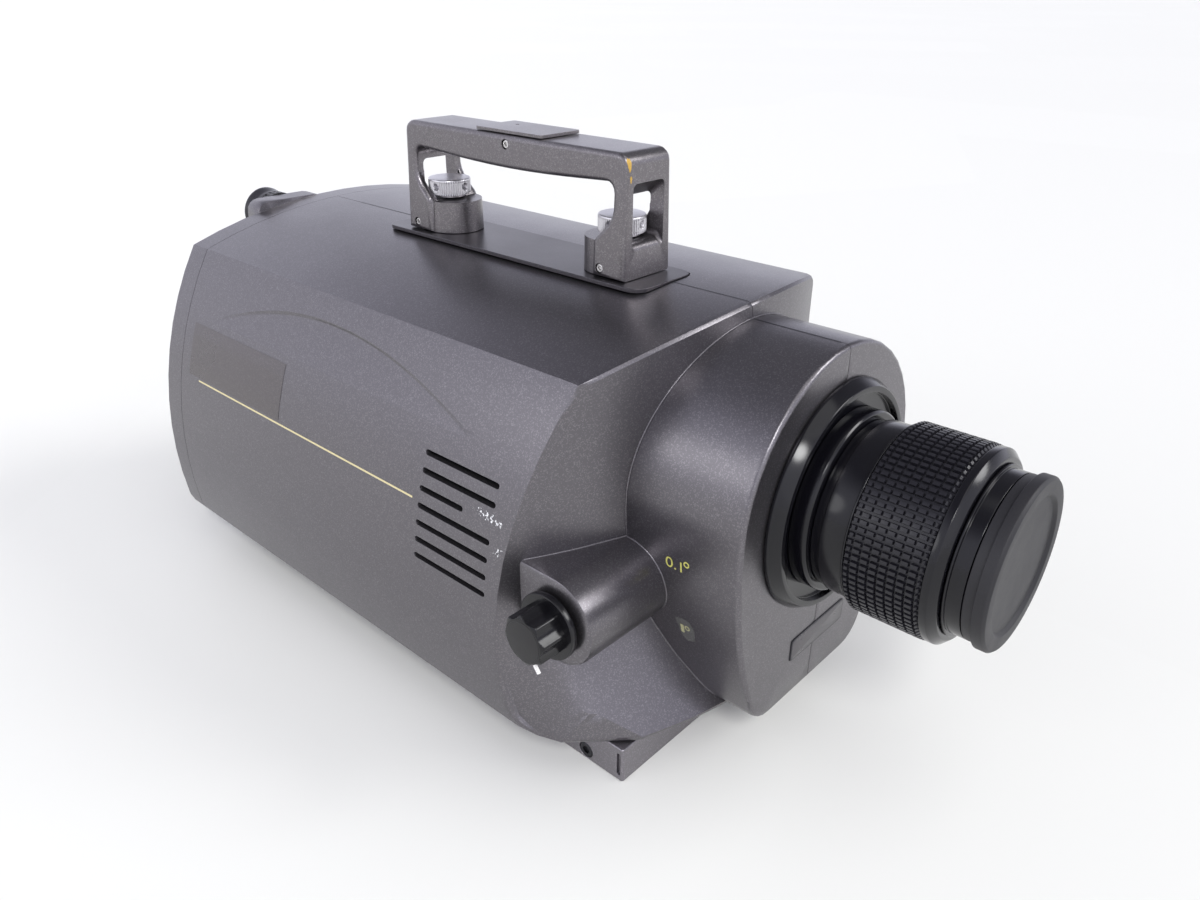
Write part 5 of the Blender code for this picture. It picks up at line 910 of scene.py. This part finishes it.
cup_profile = [(11.5, 17.3), (12.6, 16.1), (11.9, 13.0), (11.3, 10.0), (11.4, 6.8), (9.5, 6.8), (9.5, 12.0),
               (10.4, 16.1)]
dial_profile = [(11.3, 0.3), (11.8, 0.8), (11.8, 6.0), (11.3, 6.5), (9.5, 6.5), (9.5, 0.3)]
stand_in("soft_eyecup", "eye_cup", cup_profile, EYE_AXIS, cut=0.7, steps=128)
stand_in("ribbed_diopter", "diopter_ring", dial_profile, EYE_AXIS, black_plastic, cut=0.1, steps=240,
         shape=ribbed, extra=(0.95, 5.85))
print("eyepiece done")

# %% [markdown]
# ## Rounded roots
# Where the pod meets the front and the nose, and where the nose meets the front and the chin, the casting has
# a small round in the corner. It catches the light as one thin bright line, which a sharp corner doesn't.
# Each is a thin tube along the corner: its centre line follows the junction, and a ring of points is carried
# along it. The root of the arch is worked out: a circle a hair outside the nose, at the y of the bowed front.

# %% Thin rounds in the corners
def corner_round(name, corners, radius, per_side=10):
    """Point (i, j) lies at p(i) + radius * (cos a(j) * u(i) + sin a(j) * v(i)), u and v across the line."""
    corners = np.array(corners, float) / 1000
    walked = np.concatenate([[0], np.cumsum(np.linalg.norm(np.diff(corners, axis=0), axis=1))])
    even = np.linspace(0, walked[-1], per_side * len(corners))
    line = np.stack([np.interp(even, walked, corners[:, i]) for i in range(3)], axis=1)
    padded = np.concatenate([line[:1]] * 4 + [line] + [line[-1:]] * 4)
    line[1:-1] = np.stack([padded[k:k + len(line)] for k in range(9)]).mean(axis=0)[1:-1]
    along = of_length_one(np.gradient(line, axis=0))
    u = of_length_one(np.cross(along, np.array([-0.6, -0.6, 0.5])))
    v = np.cross(along, u)
    angle = around(12)[..., None]
    points = line[:, None] + radius * (np.cos(angle) * u[:, None] + np.sin(angle) * v[:, None])
    return grid_surface(name, points, housing_paint, "housing", closed_rows=False, sharp=80)


pod_top = [(-91.6, -15.0, 88.6), (-85.1, -18.5, 88.6), (-76.8, -22.4, 88.6), (-73.3, -24.0, 88.6),
           (-58.5, -29.7, 88.6), (-56.0, -30.6, 88.6)]
pod_root = [(-56.0, -30.6, 88.6), (-55.9, -34.8, 88.2), (-55.8, -38.4, 86.9), (-55.5, -41.6, 84.9),
            (-55.3, -44.3, 82.2), (-54.9, -46.3, 79.0), (-54.5, -47.6, 75.4), (-53.8, -48.0, 71.6),
            (-53.1, -47.6, 67.8), (-52.5, -46.3, 64.2), (-51.8, -44.3, 61.0), (-51.1, -41.6, 58.3),
            (-50.6, -38.4, 56.3)]
nose_root = [(-50.5, -37.2, 55.9), (-50.1, -37.8, 54.4), (-49.0, -40.1, 50.2), (-45.6, -45.9, 40.2),
             (-43.8, -49.7, 35.3), (-41.1, -54.5, 28.8), (-39.7, -57.5, 25.4), (-37.5, -60.7, 22.1),
             (-34.5, -63.5, 19.5)]
turn = np.radians(np.linspace(178, 20, 60))
arch_x, arch_rise = 56.5 * np.cos(turn), 56.5 * np.sin(turn)
arch_y = 1000 * front_place(arch_x / 1000, arch_rise / 1000)
arch_root = [(-56.0, -30.6, 88.8), (-56.4, -30.4, 97.0)]
arch_root += np.stack([arch_x, arch_y, arch_rise + 1000 * AXIS_UP], axis=1).tolist()
corner_round("pod_top_round", pod_top, 0.0004)
corner_round("pod_root_round", pod_root, 0.0004)
corner_round("nose_root_round", nose_root, 0.0003)
corner_round("arch_root_round", arch_root, 0.00035, per_side=3)
print("corner rounds done")

# %% [markdown]
# ## Painted shade in the seam on top
# The two halves of the housing meet along the middle with a gap of 0.3 mm, whose shade shows as a thin black
# line over the crown and the nose. So narrow a gap is lost between two pixels, so a dark strip a hair above the
# paint draws that shade: it is painted shade. It bows with the crown: its height falls by x^2 / 2R to both
# sides.

# %% Dark strips of painted shade over the seam
SEAM_BOW = 112


def seam_shadow(name, start, end, height, half_width=0.32):
    """A dark strip of painted shade over the seam. Point (i, j) lies at x(j), y(i), and at height - x(j)^2 /
    SEAM_BOW, in millimetres.
    """
    place, across = np.linspace(start, end, 40)[:, None], np.linspace(-half_width, half_width, 5)[None, :]
    points = np.stack(np.broadcast_arrays(across, place, height - across ** 2 / SEAM_BOW), axis=-1) / 1000
    return grid_surface(name, points, black_edge_and_seam_shade, "housing", closed_rows=False, closed_columns=False,
                        facing=(0, 0, 1))


# Painted shade: three dark strips where the seam's gap is shaded.
seam_shadow("crown_seam_painted_shade_front", -37.0, -3.6, 163.86)
seam_shadow("crown_seam_painted_shade_rear", 148.2, 196.0, 163.86)
seam_shadow("nose_seam_painted_shade", -75.2, -40.4, 157.94)
print("seam strips done")

# %% [markdown]
# ## Prints on the housing
# The housing carries a long gold line, small yellow numbers beside the knob's field settings, a thin clear
# film and a few marks of use. A print has no thickness of its own, so each is made as a flat grid beside the
# housing, then every point is sent along one axis until it meets the surface, and stops a hair above it. A
# print made this way follows the crown and the bulge without any measuring.

# %% Laying a flat shape on a surface
def lay_on(piece, skin, axis, lift=0.00006):
    """Project every point along an axis onto a skin, a hair short of it, and keep that as a plain mesh."""
    wrap = piece.modifiers.new("wrap", "SHRINKWRAP")
    wrap.target = skin
    wrap.wrap_method = "PROJECT"
    wrap.use_project_x, wrap.use_project_y, wrap.use_project_z = (axis == letter for letter in "XYZ")
    wrap.offset = lift
    known = bpy.context.evaluated_depsgraph_get()
    data = bpy.data.meshes.new_from_object(piece.evaluated_get(known), depsgraph=known)
    piece.modifiers.clear()
    piece.data = data
    return piece


def side_point(y, z):
    """A point beside the housing's left side, for grids of y and z in millimetres."""
    y, z = np.broadcast_arrays(y, z)
    return np.stack([np.full(y.shape, -0.125), y / 1000, z / 1000], axis=-1)


def on_side(name, y, z, finish, lift=0.0001, closed_columns=True):
    """A grid of y and z in millimetres, laid on the housing's left side."""
    piece = grid_surface(name, side_point(y, z), finish, "housing", closed_rows=False,
                         closed_columns=closed_columns, facing=(-1, 0, 0))
    return lay_on(piece, skins["left_shell"], "X", lift)


line_y, line_z = np.linspace(38.4, 200.4, 90)[None, :], np.array([[94.35], [94.75], [95.1]])
film_y, film_z = np.linspace(131.0, 209.5, 60)[None, :], np.linspace(96.0, 119.6, 20)[:, None]
on_side("gold_line", line_y, line_z, gold_print, lift=0.00006, closed_columns=False)
on_side("side_film", film_y, film_z, side_film, closed_columns=False)
print("line and film laid on")

# %% [markdown]
# ## The field numbers
# Two plain numbers with a degree sign stand where the knob's settings are, and the lower one has all but worn
# off, under a scrap of pale film. Text is turned into a mesh first. Then it's scaled to its height and stood
# up on the side: its own x runs forward along the housing, and its own y runs up.

# %% Numbers with degree signs
def side_number(name, text, y, z, height, width, finish):
    """Text whose lower left corner is at y, z, fitted to a height and a width in millimetres."""
    curve = bpy.data.curves.new(name, "FONT")
    curve.body = text
    writer = bpy.data.objects.new(name, curve)
    scene.collection.objects.link(writer)
    known = bpy.context.evaluated_depsgraph_get()
    data = bpy.data.meshes.new_from_object(writer.evaluated_get(known), depsgraph=known)
    bpy.data.objects.remove(writer)
    flat = values_of(data.vertices, "co")
    flat = (flat - flat.min(axis=0)) / np.maximum(np.ptp(flat, axis=0), 1e-9)
    data.vertices.foreach_set("co", side_point(y - flat[:, 0] * width, z + flat[:, 1] * height).ravel())
    data.materials.append(finish)
    return lay_on(put(name, data, "housing"), skins["left_shell"], "X", 0.0001)


def degree_sign(name, y, z, size, finish):
    """A small ring: radius between 0.55 and 1 of its size, carried round."""
    angle = around(32)
    radius = size * np.array([[0.55], [1.0]])
    return on_side(name, y + radius * np.cos(angle), z + radius * np.sin(angle), finish)


def scrap(name, outline, finish, rows=8, columns=72):
    """Point (share, s) lies at middle + share * (outline at s - middle), over an outline of (y, z) corners."""
    corners = np.array(outline + outline[:1], float)
    along = np.linspace(0, len(outline), columns, endpoint=False)
    edge = np.stack([np.interp(along, np.arange(len(corners)), corners[:, i]) for i in (0, 1)], axis=1)
    middle = edge.mean(axis=0)
    share = np.linspace(0, 1, rows)[:, None, None]
    spread = middle + share * (edge - middle)[None]
    return on_side(name, spread[..., 0], spread[..., 1], finish, lift=0.00006)


side_number("number_tenth", "0.1", -48.5, 84.1, 4.3, 7.0, yellow_print)
degree_sign("degree_tenth", -57.5, 88.3, 1.25, yellow_print)
scrap("worn_scrap", [(-50.9, 61.4), (-54.5, 62.6), (-57.4, 62.2), (-59.3, 58.7), (-58.9, 53.0), (-55.3, 51.4),
                     (-52.8, 53.8), (-51.6, 58.2)], pale_film)
side_number("number_one", "1", -53.0, 55.2, 3.9, 1.5, faded_print)
degree_sign("degree_one", -56.0, 58.2, 1.15, faded_print)
print("numbers laid on")

# %% [markdown]
# ## Flecks and dabs
# To the right of the vents sit two small clusters of tiny bright metal flecks. Each is a six-sided fleck
# with its own radius and place, drawn from seeded random numbers, so that every run gives the same ones.
# Two dabs of ochre paint sit on the handle's front corner.

# %% Bright flecks and dabs
def bright_flecks(name, start, end, count, spread, seed):
    """Flecks along a line from start to end: fleck i is a ring of six points round its own middle."""
    numbers = np.random.default_rng(seed)
    share = numbers.random(count)[:, None]
    middle = np.array(start) + share * (np.array(end) - np.array(start)) + numbers.normal(0, spread, (count, 2))
    size = 0.12 + 0.34 * numbers.random((count, 1)) ** 2.2
    angle = 2 * pi / 6 * np.arange(6)[None, :] + numbers.random((count, 1)) * 2
    reach = size * (0.6 + 0.8 * numbers.random((count, 6)))
    corners = side_point(middle[:, :1] + reach * np.cos(angle), middle[:, 1:] + reach * np.sin(angle))
    data = bpy.data.meshes.new(name)
    data.from_pydata(corners.reshape(-1, 3).tolist(), [], np.arange(count * 6).reshape(count, 6).tolist())
    data.materials.append(bright_fleck_metal)
    return lay_on(put(name, data, "housing"), skins["left_shell"], "X", 0.00008)


bright_flecks("bright_flecks_upper", (5.6, 102.6), (-8.6, 100.8), 44, 0.75, 4)
bright_flecks("bright_flecks_lower", (-7.0, 90.6), (-10.6, 92.6), 13, 0.6, 9)

angle = around(40)
share = np.linspace(0, 1, 6)[:, None]
ragged = 1 + 0.12 * np.sin(3 * angle) + 0.08 * np.sin(7 * angle + 1)
dabs = (("dab_upper", -14.0, 207.0, 0.8, 2.3), ("dab_lower", -13.45, 201.8, 0.55, 1.3))
for name, x, z, half_x, half_z in dabs:
    points = np.stack([(x + share * half_x * ragged * np.cos(angle)) / 1000, np.full_like(share * angle, -0.02),
                       (z + share * half_z * ragged * np.sin(angle)) / 1000], axis=-1)
    dab = grid_surface(name, points, ochre_dab, "housing", closed_rows=False, facing=(0, -1, 0))
    lay_on(dab, skins["handle"], "Y")
print("marks laid on")

# %% [markdown]
# ## The small inset plate
# Under the lens, the nose carries a small inset plate with a black border. Both are slabs with rounded
# corners and a rounded edge. A slab is an outline carried from its back to its front, pulled in a little at
# the front edge, and the outline is a superellipse, which is a rectangle with soft corners in one formula.

# %% Inset plate
def slab(name, left, right, bottom, top, back, front, finish, power=14):
    """|x / a| ^ power + |z / b| ^ power = 1, shrunk by 0.25 mm at the front edge and closed in its middle."""
    turn = around(160)
    half_x, half_z = (right - left) / 2, (top - bottom) / 2
    grow = (np.abs(np.cos(turn)) ** power + np.abs(np.sin(turn)) ** power) ** (-1 / power)
    inset = np.array([[1.0], [0.0], [0.0], [0.08], [0.25], [1.0]])
    is_middle = np.array([[True], [False], [False], [False], [False], [True]])
    reach_x = np.where(is_middle, 0, half_x - inset) * grow * np.cos(turn)
    reach_z = np.where(is_middle, 0, half_z - inset) * grow * np.sin(turn)
    depth = np.array([back, back, front + 0.25, front + 0.08, front, front])[:, None] * np.ones_like(turn)
    points = np.stack([(left + right) / 2 + reach_x, depth, (bottom + top) / 2 + reach_z], axis=-1) / 1000
    return grid_surface(name, points, finish, "housing", closed_rows=False)


slab("inset_edge", -16.5, 21.9, 34.9, 45.1, -79.1, -79.5, black_edge_and_seam_shade)
slab("inset_face", -15.9, 21.3, 35.5, 44.5, -79.3, -79.62, inset_grey)
print("inset plate done")

# %% [markdown]
# ## Studio
# The instrument stands on a wide pale floor in a pale room. The paint mirrors that room as a blur, so the
# room's own shading matters more than any lamp: a white wall all round up to 35 degrees, lower on the right,
# and a dark ceiling above it. A colour ramp makes it, read by the height z of each direction plus half of its
# x where that is positive.

# %% Floor and surrounding
half_floor = 40.0
floor_data = bpy.data.meshes.new("floor")
floor_corners = [(x * half_floor, y * half_floor, 0) for x, y in ((-1, -1), (1, -1), (1, 1), (-1, 1))]
floor_data.from_pydata(floor_corners, [], [(0, 1, 2, 3)])
floor = bpy.data.objects.new("floor", floor_data)
scene.collection.objects.link(floor)
floor_material, tree, principled = shader("pale floor", roughness=0.5)
tone = place_group(tree, speckle, scale=1.5, share=0.5, paint=(0.835, 0.835, 0.79, 1),
                   flake=(0.845, 0.845, 0.80, 1))
wire(tree, (tone, "Color", principled, "Base Color"))
floor_data.materials.append(floor_material)

world = bpy.data.worlds.new("studio")
scene.world = world
world.use_nodes = True
tree = world.node_tree
background = tree.nodes["Background"]
background.inputs["Strength"].default_value = 1.15
place = node(tree, "ShaderNodeTexCoord")
split = node(tree, "ShaderNodeSeparateXYZ")
to_right = node(tree, "ShaderNodeMath", operation="MAXIMUM")
to_right.inputs[1].default_value = 0
raised = node(tree, "ShaderNodeMath", operation="MULTIPLY_ADD")
raised.inputs[1].default_value = 0.5
ramp = node(tree, "ShaderNodeValToRGB")
wire(tree, (place, "Generated", split, 0), (split, "X", to_right, 0), (to_right, 0, raised, 0),
     (split, "Z", raised, 2), (raised, 0, ramp, 0), (ramp, "Color", background, "Color"))
heights = [(0.0, (1.02, 1.03, 1.13)), (0.58, (1.03, 1.04, 1.19)), (0.72, (0.55, 0.55, 0.65)),
           (0.85, (0.2, 0.2, 0.24)), (1.0, (0.22, 0.22, 0.25))]
stops = ramp.color_ramp.elements
for height, _ in heights[1:-1]:
    stops.new(height)
for stop, (height, colour) in zip(stops, heights):
    stop.position, stop.color = height, (*colour, 1)
print("world ramp:", [round(stop.position, 2) for stop in stops])

# %% [markdown]
# Each lamp is a far disc, told by its direction and its apparent width: a wide one gives the floor its soft
# shadow, and a narrow one draws a bright line on every edge that is rounded enough to mirror it. The one near
# the camera draws the lines along the nose and the handle, which flat faces send elsewhere.

# %% Lamps
def soft_lamp(name, azimuth, elevation, width, power):
    """A far round lamp: azimuth from behind towards the right, elevation and apparent width in degrees."""
    light = bpy.data.lights.new(name, "SUN")
    light.angle = radians(width)
    light.energy = power
    holder = bpy.data.objects.new(name, light)
    a, e = radians(azimuth), radians(elevation)
    away = Vector((sin(a) * cos(e), cos(a) * cos(e), sin(e)))
    holder.location = away * 2
    holder.rotation_euler = away.to_track_quat("Z", "Y").to_euler()
    scene.collection.objects.link(holder)


soft_lamp("overhead", 170, 72, 44, 0.5)
soft_lamp("left", -59, 18, 20, 0.2)
soft_lamp("front right", 139, 35, 24, 1.2)
soft_lamp("front fill", -150, 26, 60, 0.2)
soft_lamp("by the camera", -138, 46, 14, 1.1)
print("lamps:", len(bpy.data.lights))
